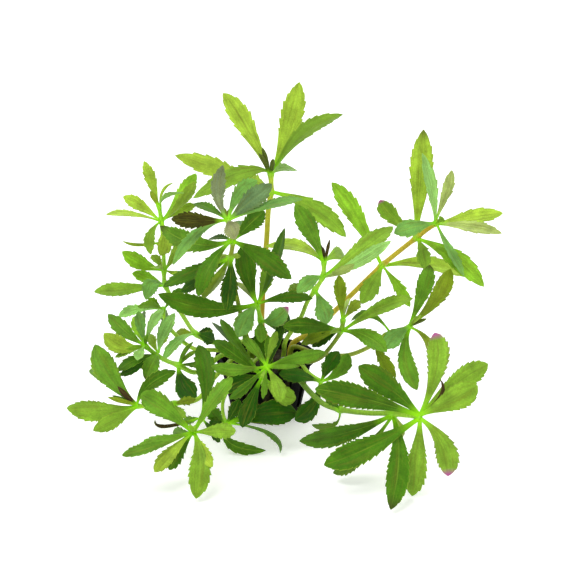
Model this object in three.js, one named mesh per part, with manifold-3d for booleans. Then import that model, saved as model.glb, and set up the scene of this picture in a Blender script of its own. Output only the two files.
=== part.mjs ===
// Limnophila hippuridoides, an aquarium plant grown above water: whorled leaves on bare stems in a small pot.
// Millimetres, +Z up, origin at the centre of the pot's underside, front of the plant towards -Y.
import * as THREE from "three";
import { mergeVertices } from "three/addons/utils/BufferGeometryUtils.js";
import Module from "manifold-3d";

const wasm = await Module();
wasm.setup();

// Driving dimensions
const POT_DIAMETER = 50;
const POT_HEIGHT = 30;
const POT_FOOT_DIAMETER = 34;
const POT_WALL = 1.2;
const RIM_OVERHANG = 2;
const POT_SLOTS = 12;
const SLOT_WIDTH = 3.4;
const SLOT_HEIGHT = 0.6 * POT_HEIGHT;
const SLOT_DEPTH = 12;
const FOOT_SLOTS = 4;
const FOOT_SLOT_LENGTH = 7;
const FOOT_SLOT_WIDTH = 2;
const FLOOR_THICKNESS = 1.6;
const WOOL_TOP = POT_HEIGHT - 4;
const WOOL_EDGE = 1.5;
const LEAF_WIDTH = 11;
const LEAF_THICKNESS = 0.9;
const FIT_GAP = 0.3;

// Stems and the swollen nodes that carry the whorls
const STEM_SIDES = 5;
const STEM_STEP = 16;
const STEM_RISE = 8;
const STEM_SPREAD = 0.12;
const COLLAR_WIDTH = 1.6;
const COLLAR_HEIGHT = 3;
const COLLAR_SIDES = 5;
const COLLAR_TAPER = 0.85;

// The plant is laid out as it is seen from the front: a place is [across, up, back]. Across and up are
// read from the plant's middle, on a sheet that stands square to the line of sight, and back is the
// depth behind the middle. The shoots lean out to the front and a little to the left, so the plant's
// middle isn't the pot's.
const MIDDLE = new THREE.Vector3(-4, -7, 0);
const EYE_DISTANCE = 700;
const EYE_HEIGHT_ANGLE = THREE.MathUtils.degToRad(25);
const EYE = new THREE.Vector3(
  MIDDLE.x,
  MIDDLE.y - EYE_DISTANCE * Math.cos(EYE_HEIGHT_ANGLE),
  EYE_DISTANCE * Math.sin(EYE_HEIGHT_ANGLE),
);
const LOOKED_AT = new THREE.Vector3(13.44, 0, 69.14).add(MIDDLE);
const SHEET_CENTRE = [13.5, 65.5];
const SIGHT = LOOKED_AT.clone().sub(EYE).normalize();
const SIGHT_RIGHT = SIGHT.clone().cross(new THREE.Vector3(0, 0, 1)).normalize();
const SIGHT_UP = SIGHT_RIGHT.clone().cross(SIGHT);

function place([across, up, back]) {
  const ray = SIGHT.clone().multiplyScalar(EYE_DISTANCE);
  ray.addScaledVector(SIGHT_RIGHT, across - SHEET_CENTRE[0]);
  ray.addScaledVector(SIGHT_UP, up - SHEET_CENTRE[1]);
  return EYE.clone().addScaledVector(ray, (MIDDLE.y + back - EYE.y) / ray.y);
}

// A leaf row is [across, up, back, seen width] of its tip, and may add the place that the middle of its
// midrib passes through. A whorl's axis points from its stem towards the tip of the shoot.
const SHOOTS = [
  {
    name: "crown", diameter: 2.8, root: [1, 7],
    route: [
      [2, 45, 8], [2.2, 58, 8], [3.2, 73, 8], [4.3, 88, 8], [5.2, 103, 8], [6.5, 113, 8], [6.4, 122, 8],
    ],
    whorls: [
      { at: [6.4, 121.5, 8], axis: [0, 0, 1], leaves: [
        [-17.5, 161.5, 20, 10.5],
        [20.7, 167, 18, 11, [15.5, 145, 14]],
        [42.5, 150.8, -8, 8, [22, 140.5, 0]],
        [19, 123, -16, 5.5],
        [-32.5, 108.8, -4, 8, [-7, 121.5, 2]],
        [2, 134.5, 6, 2.6], [0.3, 131.5, 2, 2.4], [7.6, 128.5, 3, 2.6],
      ] },
      { at: [6.3, 112, 8], axis: [0, 0, 1], leaves: [
        [-41.5, 130.3, 18, 10, [-16, 121.5, 14]],
        [44, 89.5, 4, 10, [27, 104, 6]],
        [-9, 117.5, 38, 8],
      ] },
    ],
  },
  {
    name: "plum", diameter: 2.2, root: [-6, -5],
    route: [
      [-7, 44, -12], [-11, 61, -20], [-14, 72, -25], [-13.5, 80, -27], [-12.6, 88, -28],
      [-15.2, 98.5, -30],
    ],
    whorls: [
      { at: [-15.2, 98, -30], axis: [-0.1, -0.25, 1], leaves: [
        [-17.5, 125.5, -24, 7.5, [-20, 111, -26]],
        [-0.3, 117.8, -12, 8, [-9.5, 111, -20]],
        [7, 116, -34, 10, [-4.5, 107, -34]],
        [22.5, 108.3, -40, 4.8, [4, 104.5, -37]],
        [-43.5, 98.5, -36, 8.4, [-30, 97.8, -34]],
        [-11.2, 88.3, -54, 8.5],
        [-32, 106.2, -12, 5],
        [-42.5, 75.5, -38, 5, [-29.5, 91.5, -30]],
        [-14, 103.5, -30, 2.6], [-17.8, 104.5, -28, 2.6],
      ] },
      { at: [-12.8, 87.6, -28], axis: [0.05, -0.25, 1], leaves: [
        [-30, 59.7, -48, 8.2, [-23.5, 76, -42]],
        [16.8, 68.5, -50, 10.5, [1.5, 80, -43]],
        [3.3, 102.5, -12, 9, [-4.5, 95.5, -20]],
        [-24.5, 88.5, -12, 3.4],
        [-49, 95, -14, 10, [-31, 86, -22]],
        [-5, 97.5, 6, 7],
      ] },
      { at: [-13.6, 79, -27], axis: [0, -0.2, 1], leaves: [
        [-15.8, 52.5, -44, 8.8, [-14, 67, -37]],
        [-47.5, 64.5, -24, 6.5, [-30, 72.5, -21]],
        [-27, 58.5, -4, 7, [-20.5, 68, -14]],
        [-20.5, 78, -12, 3], [-9, 79.5, -14, 3],
        [-38.5, 62.5, -12, 5.5, [-27, 69.5, -19]],
      ] },
    ],
  },
  {
    name: "heart", diameter: 2.2, root: [2, -10],
    route: [[2, 40, -17], [1.2, 48, -18], [-0.5, 56, -19]],
    whorls: [
      { at: [-0.5, 56, -19], axis: [0, -0.2, 1], leaves: [
        [-50, 61, -30, 10.5, [-25, 53.5, -27]],
        [-9.8, 39.3, -38, 10, [-6, 48.5, -31]],
        [-7.5, 86, -13, 10.5, [-5.3, 71, -13]],
        [13.5, 94, -12, 5.6, [8, 74, -13]],
        [-11, 67, 0, 3.6],
        [27.4, 58.6, -24, 6, [13, 59, -20]],
        [5, 76, 2, 7, [3.5, 66, -6]],
      ] },
      { at: [1.2, 48, -18], axis: [0, -0.3, 1], leaves: [
        [15.2, 54.6, -36, 9, [8.5, 48.3, -28]],
        [14, 52.5, -8, 7, [12, 44, -12]],
        [1.5, 36.5, -30, 6.5],
      ] },
    ],
  },
  {
    name: "grey", diameter: 2.2, root: [8, -4],
    route: [
      [14, 38, -11], [21.5, 49.5, -17], [24.6, 57, -20], [28.5, 63, -22], [32.5, 70, -24],
      [33, 77.5, -24],
    ],
    whorls: [
      { at: [33, 77.2, -24], axis: [0, 0, 1], leaves: [
        [18.5, 106, -22, 9.8, [26.5, 92, -25]],
        [3.5, 84.7, 8, 7.6, [19.5, 84.6, -5]],
        [44, 78.3, 8, 7.5, [40, 80.5, -6]],
        [31, 86.2, -24, 2.4], [32.4, 84.5, -21, 2.2], [36, 88.5, -23, 1.8],
      ] },
      { at: [32.6, 70, -24], axis: [0.1, -0.2, 1], leaves: [
        [67.5, 94.8, -10, 8, [51, 82.5, -20]],
        [66.5, 87.7, -28, 7, [50, 76.5, -31]],
        [19.5, 61.5, -44, 7.5, [26, 67.5, -37]],
        [48, 76, -42, 3.6, [40, 71, -36]],
      ] },
      { at: [28.7, 63, -22], axis: [0.3, -0.2, 0.9], leaves: [
        [34.5, 46, -42, 9.5, [32.5, 54, -35]],
        [15, 62.5, -2, 4],
      ] },
    ],
  },
  {
    name: "right", diameter: 2.6, root: [12, 6],
    route: [[27, 42, 12], [44, 58, 17], [62, 75.3, 20], [79, 89, 20], [89, 96.5, 18], [90.5, 97.5, 18]],
    whorls: [
      { at: [89, 96.5, 18], axis: [0.5, -0.1, 0.8], leaves: [
        [82, 131.5, 20, 6, [87, 111, 16]],
        [97, 123, 26, 6],
        [122.5, 101.5, 28, 6.5, [105, 99, 24]],
        [122, 91.3, 4, 5.8, [104, 94.7, 10]],
        [68, 91.3, -8, 8.6, [78, 94.5, 2]],
        [103, 69.5, -4, 5.2, [95.5, 83, 6]],
        [92.8, 98.8, 12, 3.4],
      ] },
      { at: [79.3, 89.2, 20], axis: [0.5, 0, 0.8], leaves: [
        [82.8, 143.3, 34, 11.5, [81.2, 117, 28]],
        [61, 108, 28, 8.5, [67, 100, 27]],
        [113, 64.6, 2, 9.5, [96.5, 80, 9]],
        [84, 73, 2, 7],
      ] },
      { at: [62, 75.3, 20], axis: [0.6, 0, 0.8], leaves: [
        [36.8, 116.8, 34, 9.6, [49, 99, 28]],
        [104, 69.5, 34, 8.5, [84, 76, 30]],
        [51.8, 56, 2, 9.2, [57.5, 66, 10]],
        [76, 54.5, 16, 5.8, [69.5, 65, 20]],
      ] },
    ],
  },
  {
    name: "low_right", diameter: 2.2, root: [15, -7],
    route: [[25, 27, -17], [31, 29, -20], [37, 35.5, -22], [41.7, 43, -22], [42.6, 48.5, -21]],
    whorls: [
      { at: [42.5, 48.2, -21], axis: [0.1, -0.1, 1], leaves: [
        [40.5, 70.5, -12, 6.5, [41.3, 60, -16]],
        [51, 57.5, -6, 5.6],
        [44.5, 58, 2, 4],
      ] },
      { at: [41.7, 42.8, -22], axis: [0.3, -0.3, 0.9], leaves: [
        [12.5, 44.8, -32, 8.5, [27, 45, -29]],
        [77.5, 58.8, -28, 7.6, [60, 53, -27]],
        [64.5, 32, -44, 8.8, [54, 40, -36]],
        [36, 41.3, -40, 2.8],
        [27, 34.5, -14, 5.5],
        [21.5, 36, -10, 5.5, [32, 40.5, -17]],
      ] },
    ],
  },
  {
    name: "far_right", diameter: 2.2, root: [12, 2],
    route: [
      [30, 31, 0], [45, 30.5, -5], [57, 35.3, -9], [66, 41.5, -11], [75.5, 44.5, -12], [77, 45.5, -12],
    ],
    whorls: [
      { at: [76, 44.8, -12], axis: [0.5, -0.2, 0.8], leaves: [
        [86, 75.6, -6, 8.6, [82, 61, -8]],
        [96.3, 73.5, 4, 8.5, [88.5, 58.5, -3]],
        [84.5, 48.6, -18, 2], [81.2, 50.3, -14, 2.4],
        [63.5, 33.5, -36, 9, [69.5, 40.5, -25]],
        [79.6, 13, -42, 9, [73.5, 29.5, -30]],
        [87, 20, -12, 4.5, [85, 36, -13]],
      ] },
      { at: [66, 41.6, -11], axis: [0.6, -0.2, 0.7], leaves: [
        [46.5, 47.5, 0, 4.6, [56, 50.5, -5]],
        [61, 39, -20, 2.6],
      ] },
      { at: [58.5, 36, -9.3], axis: [0.6, -0.3, 0.7], leaves: [
        [69, 19.3, -22, 6.3, [61.8, 29.4, -15]],
      ] },
    ],
  },
  {
    name: "short", diameter: 2, root: [12, -9],
    route: [[26, 21, -25], [32, 16.8, -30]],
    whorls: [
      { at: [31.5, 17, -29.6], axis: [0.6, -0.4, 0.5], leaves: [
        [40.5, 32.3, -32, 7.6, [35.5, 25, -33]],
        [44.7, 31.3, -18, 8, [40.5, 22.5, -24]],
        [33, 27, -16, 3.8],
        [10.5, 21, -37, 7.5, [21.5, 20, -36]],
        [18.3, -2, -42, 9.5, [27, 4.8, -38]],
      ] },
    ],
  },
  {
    name: "front_right", diameter: 2.6, root: [7, -13],
    route: [
      [17, 23, -30], [26, 12, -43], [33, 6, -50], [41, 3.3, -56], [54, 1.6, -65], [67, 1.2, -72],
      [81.5, -0.3, -79],
    ],
    whorls: [
      { at: [81, -0.2, -78.7], axis: [0.3, -0.85, 0.45], leaves: [
        [88.3, 41.6, -60, 11.5, [89.3, 24, -68]],
        [115, 26, -64, 11, [98, 15.5, -72]],
        [109.8, 15.2, -84, 13, [96, 7.5, -84]],
        [95, -30, -90, 11.5, [92.5, -14, -87]],
        [77, -40, -86, 11, [79.8, -20, -84]],
        [33, -24.5, -84, 13, [57, -15, -82]],
        [50.2, 25, -72, 12.5, [67, 13, -77]],
        [28.5, 13.5, -84, 12.8, [54, 8.5, -83]],
        [79.3, 1.5, -84, 2.8], [83.6, 2.2, -85, 2.6],
        [91, 18.5, -76, 2.2, [91.5, 10, -79]],
      ] },
      { at: [67.3, 1.2, -72.2], axis: [1, -0.2, 0.1], leaves: [
        [20.7, -12.5, -70, 11, [45, -8, -72]],
        [66.3, -46.8, -102, 11.5, [70.3, -20, -86]],
        [37.5, -28.5, -72, 7, [52, -18, -72]],
        [70, -14.5, -58, 5],
      ] },
      { at: [41, 3.3, -56], axis: [1, -0.2, 0], leaves: [
        [26.8, -4.3, -50, 3.6, [37.5, -4.6, -54]],
        [33.4, 9.6, -63, 4.4],
      ] },
    ],
  },
  {
    name: "front_left", diameter: 2.2, root: [-6, -13],
    route: [[-15, 18, -30], [-22, 8, -43], [-28, -1, -55], [-32.6, -8.5, -67]],
    whorls: [
      { at: [-32.5, -8.3, -66.7], axis: [-0.1, -0.9, 0.4], leaves: [
        [-58.5, 11, -58, 11.5, [-46, 3.2, -64]],
        [-13, 19.3, -58, 8, [-23, 6.5, -66]],
        [-11, -7.3, -84, 8, [-21, -7.5, -79]],
        [-22.7, -25.5, -86, 6.2],
        [-31, -41.3, -90, 11, [-29, -22, -82]],
        [-51.8, -28, -84, 7.2, [-43, -18, -79]],
        [-60.5, -15.8, -78, 5.8, [-46, -12, -76]],
        [-68, -19.5, -84, 6.2, [-52, -15.5, -81]],
        [-34.2, -4.3, -73, 2.6], [-31.3, -4.6, -73, 2.6],
        [-44.5, -27, -72, 6.2],
        [-42.5, -8, -54, 5.5],
        [-25.3, -19.3, -68, 3.8],
      ] },
      { at: [-28, -1, -55], axis: [-0.2, -0.5, 0.7], leaves: [
        [-29.8, 35.5, -36, 10, [-25.8, 18, -47]],
        [-37, -3, -50, 4.5],
        [-19, -13, -48, 4.5],
        [-51.5, -2, -62, 2, [-46.5, -5.2, -60]],
      ] },
    ],
  },
  {
    name: "low_left", diameter: 2.2, root: [-11, -7],
    route: [[-22, 19, -23], [-30, 8.5, -32], [-42, 6.2, -40], [-55, 4.8, -46], [-61, 5, -48.5]],
    whorls: [
      { at: [-60.7, 5, -48.4], axis: [-0.75, -0.5, 0.4], leaves: [
        [-95.7, 4, -42, 10.5, [-78, 2.6, -48]],
        [-82.5, -7.3, -68, 8, [-71, -1.5, -61]],
        [-81.5, 35.8, -30, 12, [-73.5, 19.5, -41]],
        [-84.2, 21.6, -24, 4.4, [-74.5, 18, -34]],
        [-41, 22.5, -42, 7.5, [-54.5, 15.5, -50]],
        [-70.2, 15, -48, 3], [-75.3, 9.5, -52, 2.6], [-73, 10.4, -46, 2.4],
      ] },
      { at: [-42, 6.2, -40], axis: [-0.9, -0.4, 0.1], leaves: [
        [-36, -1, -52, 5],
        [-31, 8.5, -46, 4.5],
      ] },
    ],
  },
  {
    name: "outer_left", diameter: 2.4, root: [-11, -3],
    route: [
      [-19, 30, -11], [-26, 24, -17], [-32, 21.8, -19], [-39.5, 25.3, -17], [-45, 27.3, -15], [-50, 30, -13],
      [-57, 35.5, -16],
    ],
    whorls: [
      { at: [-56.7, 35.3, -15.8], axis: [-0.5, -0.6, 0.6], leaves: [
        [-75, 51, -6, 7.6, [-66, 42, -13]],
        [-77, 41.5, -16, 9, [-68, 35, -18]],
        [-62.5, 49.5, 2, 4.2],
        [-59.7, 52.5, -12, 5.6],
        [-47, 53, -10, 5.2, [-52.8, 46.5, -14]],
        [-57, 52.5, 8, 4],
        [-60.3, 27.8, -36, 4.8],
        [-66, 33.5, -26, 2.6],
        [-71.5, 29.3, -20, 3.4, [-65, 32, -19]],
        [-55.2, 41.5, -22, 2],
      ] },
      { at: [-50, 31, -11], axis: [-0.7, -0.3, 0.7], leaves: [
        [-56.5, 18.4, -32, 8.2, [-52.5, 27, -24]],
        [-70.5, 22.3, -26, 4.8, [-60, 28.5, -21]],
        [-69, 20.3, -12, 4.8, [-60, 25, -13]],
        [-41.5, 51.5, -2, 6.8, [-47.5, 41, -8]],
        [-45.5, 42, 8, 5],
        [-54, 41, 2, 5],
      ] },
      { at: [-39.5, 25.3, -17], axis: [-0.6, -0.3, 0.7], leaves: [
        [-30.8, 8, -28, 10.5, [-37.2, 15.5, -23]],
        [-26, 24.2, -30, 3.6, [-32.5, 25.5, -25]],
        [-30, 32.5, -14, 2.4, [-34.5, 30.5, -15]],
        [-32, 37.3, -18, 2.4, [-36.5, 32.5, -17]],
      ] },
    ],
  },
  {
    name: "mid_left", diameter: 2.2, root: [-12, 2],
    route: [
      [-18, 33, -5], [-25.5, 33, -7], [-30, 33, -6], [-35, 35.3, -3], [-40, 39.5, 2], [-44.5, 44.5, 6],
      [-47, 50, 8],
      [-47.5, 54, 7],
    ],
    whorls: [
      { at: [-47.4, 53.6, 7], axis: [-0.3, -0.2, 1], leaves: [
        [-60.3, 54.7, -8, 4.6, [-53.5, 55.3, -1]],
        [-55, 58.8, 4, 4.2],
        [-69.5, 49.3, 2, 5.2, [-61, 53.3, 5]],
        [-36.5, 63.5, 0, 5.2, [-42, 59.5, 3]],
        [-46, 47, 22, 4.5],
      ] },
    ],
  },
  {
    name: "tall_left", diameter: 2.2, root: [-8, 7],
    route: [
      [-17, 36, 3], [-25, 37.5, 1], [-31.5, 41.5, 4], [-37.5, 50, 10], [-43, 59, 14], [-46.5, 66, 16],
      [-47, 76, 16],
      [-47.5, 88, 15], [-48.4, 98, 14], [-49.7, 106, 14],
    ],
    whorls: [
      { at: [-49.6, 105.6, 14], axis: [-0.15, 0, 1], leaves: [
        [-57, 127.5, 20, 5.8, [-53, 116.5, 17]],
        [-54, 112.5, 8, 3],
        [-42, 116.7, 16, 1.6, [-47.3, 113, 15]],
        [-37, 111.5, 4, 3.2, [-45.5, 110, 9]],
      ] },
      { at: [-48.3, 97.6, 14], axis: [-0.1, 0, 1], leaves: [
        [-67.5, 109.7, 20, 6.4],
        [-76, 100.5, 2, 3.6],
        [-53.5, 80.7, -4, 5.6, [-54, 90, 4]],
        [-49, 80.2, 4, 7.6, [-46.5, 88, 7]],
        [-31, 105.8, 26, 4.8, [-39, 102.5, 21]],
        [-31, 121.3, 26, 7, [-38, 110.5, 20]],
        [-31.3, 117.5, 10, 5.2, [-38, 107, 12]],
      ] },
      { at: [-47.4, 87, 15], axis: [-0.1, 0, 1], leaves: [
        [-68, 87.7, 12, 1.8, [-60, 85.6, 13]],
        [-40, 93, 28, 5],
      ] },
      { at: [-47, 73, 16], axis: [0, -0.1, 1], leaves: [
        [-68, 82.3, 8, 7.8, [-58, 76.2, 12]],
        [-53, 80.5, 4, 4.6],
        [-52.5, 74, -2, 3.4],
        [-34, 68.5, 8, 3.4, [-41, 71, 10]],
        [-36, 88, 12, 6.6, [-41.5, 80.5, 14]],
      ] },
      { at: [-46.4, 65.5, 16], axis: [0, -0.1, 1], leaves: [
        [-82, 62, 4, 7.6, [-66, 63.3, 9]],
        [-63, 71.3, 18, 6],
        [-56, 58, -14, 7.6, [-53, 66, 0]],
      ] },
      { at: [-31, 41, 3.7], axis: [-0.5, -0.2, 0.8], leaves: [
        [-47.8, 27, -14, 5, [-39.5, 37.7, -5]],
        [-21.5, 37.3, -12, 7, [-25.5, 39.5, -5]],
        [-41, 41.6, 14, 4],
        [-22.5, 42.5, 12, 4],
      ] },
    ],
  },
  {
    name: "front", diameter: 2.2, root: [1, -17],
    route: [[1.5, 17, -29], [2.5, 21, -36], [4.3, 25, -45]],
    whorls: [
      { at: [4.2, 24.8, -44.6], axis: [0, -0.95, 0.3], leaves: [
        [-23.5, 25, -52, 6, [-10, 23.3, -52]],
        [-14.5, 8.6, -58, 5, [-6, 15, -54]],
        [11, 6.8, -62, 7.8, [9.5, 15.5, -56]],
        [34, 31.8, -44, 6.5, [18, 28.6, -49]],
        [21, 25, -54, 2.8],
        [9.6, 42.3, -34, 4.2, [6.7, 35, -41]],
        [5.2, 40.5, -28, 3.6],
        [-7.6, 40, -36, 4.4, [-2.8, 34, -42]],
        [-3.8, 39.3, -28, 3],
        [2.4, 8.5, -52, 3.6],
      ] },
      { at: [2.2, 20, -34], axis: [0, -0.7, 0.5], leaves: [
        [-18.5, 48.5, -24, 6, [-11.5, 37, -31]],
        [-22.8, 46.8, -16, 4.4, [-13.5, 37, -26]],
        [-22.3, 37.7, -34, 7, [-11.5, 30.5, -38]],
        [-7.8, -5.8, -48, 8.5, [-4, 6, -45]],
        [19, 8.6, -40, 9.5, [11, 11.5, -41]],
        [13.5, 51, -24, 5, [9.5, 36.5, -29]],
        [-18.5, 12, -39, 8.5, [-8.5, 17.5, -37]],
        [0, 45.5, -24, 6, [1.2, 33.5, -30]],
      ] },
    ],
  },
  {
    name: "trailing", diameter: 1.8, root: [0, -7],
    route: [[-12, 17, -28], [-17.3, 8, -35], [-17.6, 2, -38], [-16, -4, -41]],
    whorls: [
      { at: [-16.2, -3.6, -40.8], axis: [0.3, -0.8, -0.4], leaves: [
        [4, -17.2, -43.5, 6, [-13.2, -14, -43]],
        [19.5, 1.4, -37, 13, [3.5, 1.2, -42]],
        [11, -18.5, -44, 3.6, [6, -8.6, -44]],
        [-24.5, -3, -46, 5],
        [-9.5, 8.5, -41, 6.5],
        [-24.5, 4.5, -38, 7.5, [-21, 0, -40]],
      ] },
    ],
  },
];

const COLOURS = {
  leaf: 0x5d9432, plumLeaf: 0x57613a, stem: 0xa8a13c, pot: 0x111212, wool: 0x6f6a4c,
};

function finish(colour, roughness = 0.55) {
  return new THREE.MeshStandardMaterial({ color: colour, roughness, metalness: 0 });
}

// A closed geometry becomes a solid once its doubled vertices are merged by place alone.
function solid(geometry) {
  const bare = geometry.index ? geometry.toNonIndexed() : geometry.clone();
  bare.deleteAttribute("normal");
  bare.deleteAttribute("uv");
  const merged = mergeVertices(bare, 1e-5);
  return new wasm.Manifold(new wasm.Mesh({
    numProp: 3,
    vertProperties: Float32Array.from(merged.attributes.position.array),
    triVerts: Uint32Array.from(merged.index.array),
  }));
}

function named(name, body, material) {
  const mesh = body.getMesh();
  const geometry = new THREE.BufferGeometry();
  geometry.setAttribute("position", new THREE.BufferAttribute(Float32Array.from(mesh.vertProperties), 3));
  geometry.setIndex(new THREE.BufferAttribute(Uint32Array.from(mesh.triVerts), 1));
  geometry.computeVertexNormals();
  const object = new THREE.Mesh(geometry, material);
  object.name = name;
  return object;
}

function biggestPiece(body) {
  const pieces = body.decompose();
  return pieces.reduce((best, piece) => (piece.volume() > best.volume() ? piece : best));
}

// A folded sliver leaves one edge with four triangles on it.
const SIMPLIFY_TOLERANCES = [0.12, 0.06, 0.03, 0.01];
const VERTEX_GRID = 1e-3;

function hasTwinEdges(body) {
  const { vertProperties, triVerts } = body.getMesh();
  const keys = [];
  for (let i = 0; i < vertProperties.length; i += 3) {
    keys.push(Array.from(vertProperties.slice(i, i + 3), (value) => Math.round(value / VERTEX_GRID)).join());
  }
  const uses = new Map();
  for (let i = 0; i < triVerts.length; i += 3) {
    for (let corner = 0; corner < 3; corner++) {
      const ends = [keys[triVerts[i + corner]], keys[triVerts[i + (corner + 1) % 3]]];
      const edge = ends.sort().join("/");
      uses.set(edge, (uses.get(edge) ?? 0) + 1);
    }
  }
  return Math.max(...uses.values()) > 2;
}

function lightened(body) {
  for (const tolerance of SIMPLIFY_TOLERANCES) {
    const lighter = body.asOriginal().simplify(tolerance);
    if (!hasTwinEdges(lighter)) return lighter;
  }
  return body;
}

// Blade outline: share of the length from the node, and share of the full width there.
const OUTLINE = [[0, 0.16], [0.33, 0.46], [0.63, 1], [0.87, 0.6], [1, 0]];
const SHORT_OUTLINE = [[0, 0.2], [0.35, 0.6], [0.7, 1], [1, 0]];
const SHORT_LENGTH = 24;
const SLIM_OUTLINE = [[0, 0.5], [0.6, 1], [1, 0]];
const SLIM_WIDTH = 3.2;
const LENGTH_TO_WIDTH = 0.26;
const MARGIN_LIFT = 0.12;
const KEEL_SHARE = 0.6;
const TIP_THINNING = 0.4;
const LEAF_ARCH = 0.06;
const FLATTEST_TURN = 0.3;
const WIDEST_SHARE = 0.6;

function shiftedTip({ tip: [across, up, back], shift }) {
  return place([across, up, back + shift]);
}

// The midrib runs from the node through the middle place to the tip, which settle() may shift in depth.
function midrib(leaf) {
  const base = leaf.node.centre.clone();
  const away = place(leaf.middle ?? leaf.tip).sub(base);
  away.addScaledVector(leaf.node.stemRun, -away.dot(leaf.node.stemRun)).normalize();
  base.addScaledVector(away, leaf.startRadius);
  const tip = shiftedTip(leaf);
  let middle;
  if (leaf.middle) {
    middle = place([leaf.middle[0], leaf.middle[1], leaf.middle[2] + leaf.shift / 2]);
  } else {
    middle = base.clone().lerp(tip, 0.5).addScaledVector(leaf.axis, LEAF_ARCH * base.distanceTo(tip));
  }
  const control = middle.multiplyScalar(2).addScaledVector(base, -0.5).addScaledVector(tip, -0.5);
  return new THREE.QuadraticBezierCurve3(base, control, tip);
}

// The blade turns about its midrib until its width, seen from the front, is the width in its row.
function bladeFrame(leaf, curve) {
  const run = curve.v2.clone().sub(curve.v0);
  const length = run.length();
  run.normalize();
  const centre = curve.getPoint(WIDEST_SHARE);
  const toEye = EYE.clone().sub(centre);
  const nearness = toEye.length() / EYE_DISTANCE;
  toEye.normalize();
  const flat = toEye.clone().cross(run).normalize();
  const edge = run.clone().cross(flat).normalize();
  const seenWidth = leaf.width * nearness;
  const usual = Math.min(LEAF_WIDTH, LENGTH_TO_WIDTH * length);
  const width = leaf.width < SLIM_WIDTH ? seenWidth : Math.max(seenWidth, usual);
  const facing = Math.max(FLATTEST_TURN, Math.min(1, seenWidth / width));
  const natural = leaf.axis.clone().cross(run);
  if (natural.dot(flat) < 0) natural.negate();
  const side = natural.dot(edge) < 0 ? -1 : 1;
  const across = flat.multiplyScalar(facing).addScaledVector(edge, side * Math.sqrt(1 - facing * facing));
  if (across.clone().cross(run).dot(leaf.axis) < 0) across.negate();
  return { across, width };
}

function outlineOf(leaf, curve) {
  if (leaf.width < SLIM_WIDTH) return SLIM_OUTLINE;
  return curve.v0.distanceTo(curve.v2) < SHORT_LENGTH ? SHORT_OUTLINE : OUTLINE;
}

function section(curve, frame, share) {
  const centre = curve.getPoint(share);
  const along = curve.getTangent(share);
  const across = frame.across.clone().addScaledVector(along, -along.dot(frame.across)).normalize();
  return { centre, across, upward: across.clone().cross(along) };
}

// A leaf is a three-sided cone, keel down, bent along the midrib and swelled to the blade's outline.
function leafSolid(leaf) {
  const curve = midrib(leaf);
  const frame = bladeFrame(leaf, curve);
  const outline = outlineOf(leaf, curve);
  const rows = outline.length - 1;
  const cone = new THREE.ConeGeometry(1, 1, 3, rows, false, Math.PI);
  const points = cone.attributes.position;
  for (let i = 0; i < points.count; i++) {
    const row = Math.round((points.getY(i) + 0.5) * rows);
    const [share, swell] = outline[row];
    const spot = section(curve, frame, share);
    const radius = (rows - row) / rows;
    const sideways = radius > 0 ? Math.round(points.getX(i) / radius) : 0;
    const keel = 1 - Math.abs(sideways);
    const half = frame.width / 2 * swell;
    const thick = Math.min(LEAF_THICKNESS, frame.width * KEEL_SHARE) * (1 - TIP_THINNING * share);
    spot.centre.addScaledVector(spot.across, sideways * half);
    spot.centre.addScaledVector(spot.upward, Math.abs(sideways) * half * MARGIN_LIFT - keel * thick);
    points.setXYZ(i, spot.centre.x, spot.centre.y, spot.centre.z);
  }
  return solid(cone);
}

function stemCurve(shoot) {
  const [across, back] = shoot.root;
  const start = new THREE.Vector3(across, back, WOOL_TOP + FIT_GAP);
  const rise = start.clone().add(new THREE.Vector3(across * STEM_SPREAD, back * STEM_SPREAD, STEM_RISE));
  return new THREE.CatmullRomCurve3([start, rise, ...shoot.route.map(place)], false, "centripetal");
}

function stepsOf(curve) {
  return Math.max(4, Math.round(curve.getLength() / STEM_STEP));
}

function stemSolid(shoot, radius, curve) {
  const ring = new THREE.Shape();
  for (let i = 0; i < STEM_SIDES; i++) {
    const angle = i * 2 * Math.PI / STEM_SIDES;
    ring[i ? "lineTo" : "moveTo"](radius * Math.cos(angle), radius * Math.sin(angle));
  }
  ring.closePath();
  const steps = stepsOf(curve);
  return solid(new THREE.ExtrudeGeometry(ring, { steps, bevelEnabled: false, extrudePath: curve }));
}

// Leaves of different whorls that would pass through each other give way, each along its own line of sight.
const CLEARANCE = 2.6;
const SETTLE_ROUNDS = 60;
const SETTLE_STEP = 0.45;
const LARGEST_SHIFT = 22;
const FLOOR_STEP = 0.5;
const CELL = 4;
const FLOOR_CLEARANCE = 0.8;
const FIRST_SHARE = 0.25;
const SHARE_STEP = 0.075;
const COLUMN_SPACING = 1.8;
const POT_POINT_RISE = 3;
const POT_POINT_TURN = 0.12;
const STEM_POINT_STEP = 2;

function bladePoints(leaf, owner) {
  const curve = midrib(leaf);
  const frame = bladeFrame(leaf, curve);
  const outline = outlineOf(leaf, curve);
  const points = [];
  for (let share = FIRST_SHARE; share <= 1; share += SHARE_STEP) {
    const after = outline.findIndex(([s]) => s >= share - 1e-9);
    const [s0, w0] = outline[after - 1];
    const [s1, w1] = outline[after];
    const half = frame.width / 2 * (w0 + (w1 - w0) * (share - s0) / (s1 - s0));
    const spot = section(curve, frame, share);
    const columns = Math.max(1, Math.ceil(half / COLUMN_SPACING));
    for (let column = -columns; column <= columns; column++) {
      const point = spot.centre.clone().addScaledVector(spot.across, half * column / columns);
      point.addScaledVector(spot.upward, Math.abs(half * column / columns) * MARGIN_LIFT);
      points.push({ point, owner, share });
    }
  }
  return points;
}

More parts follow.
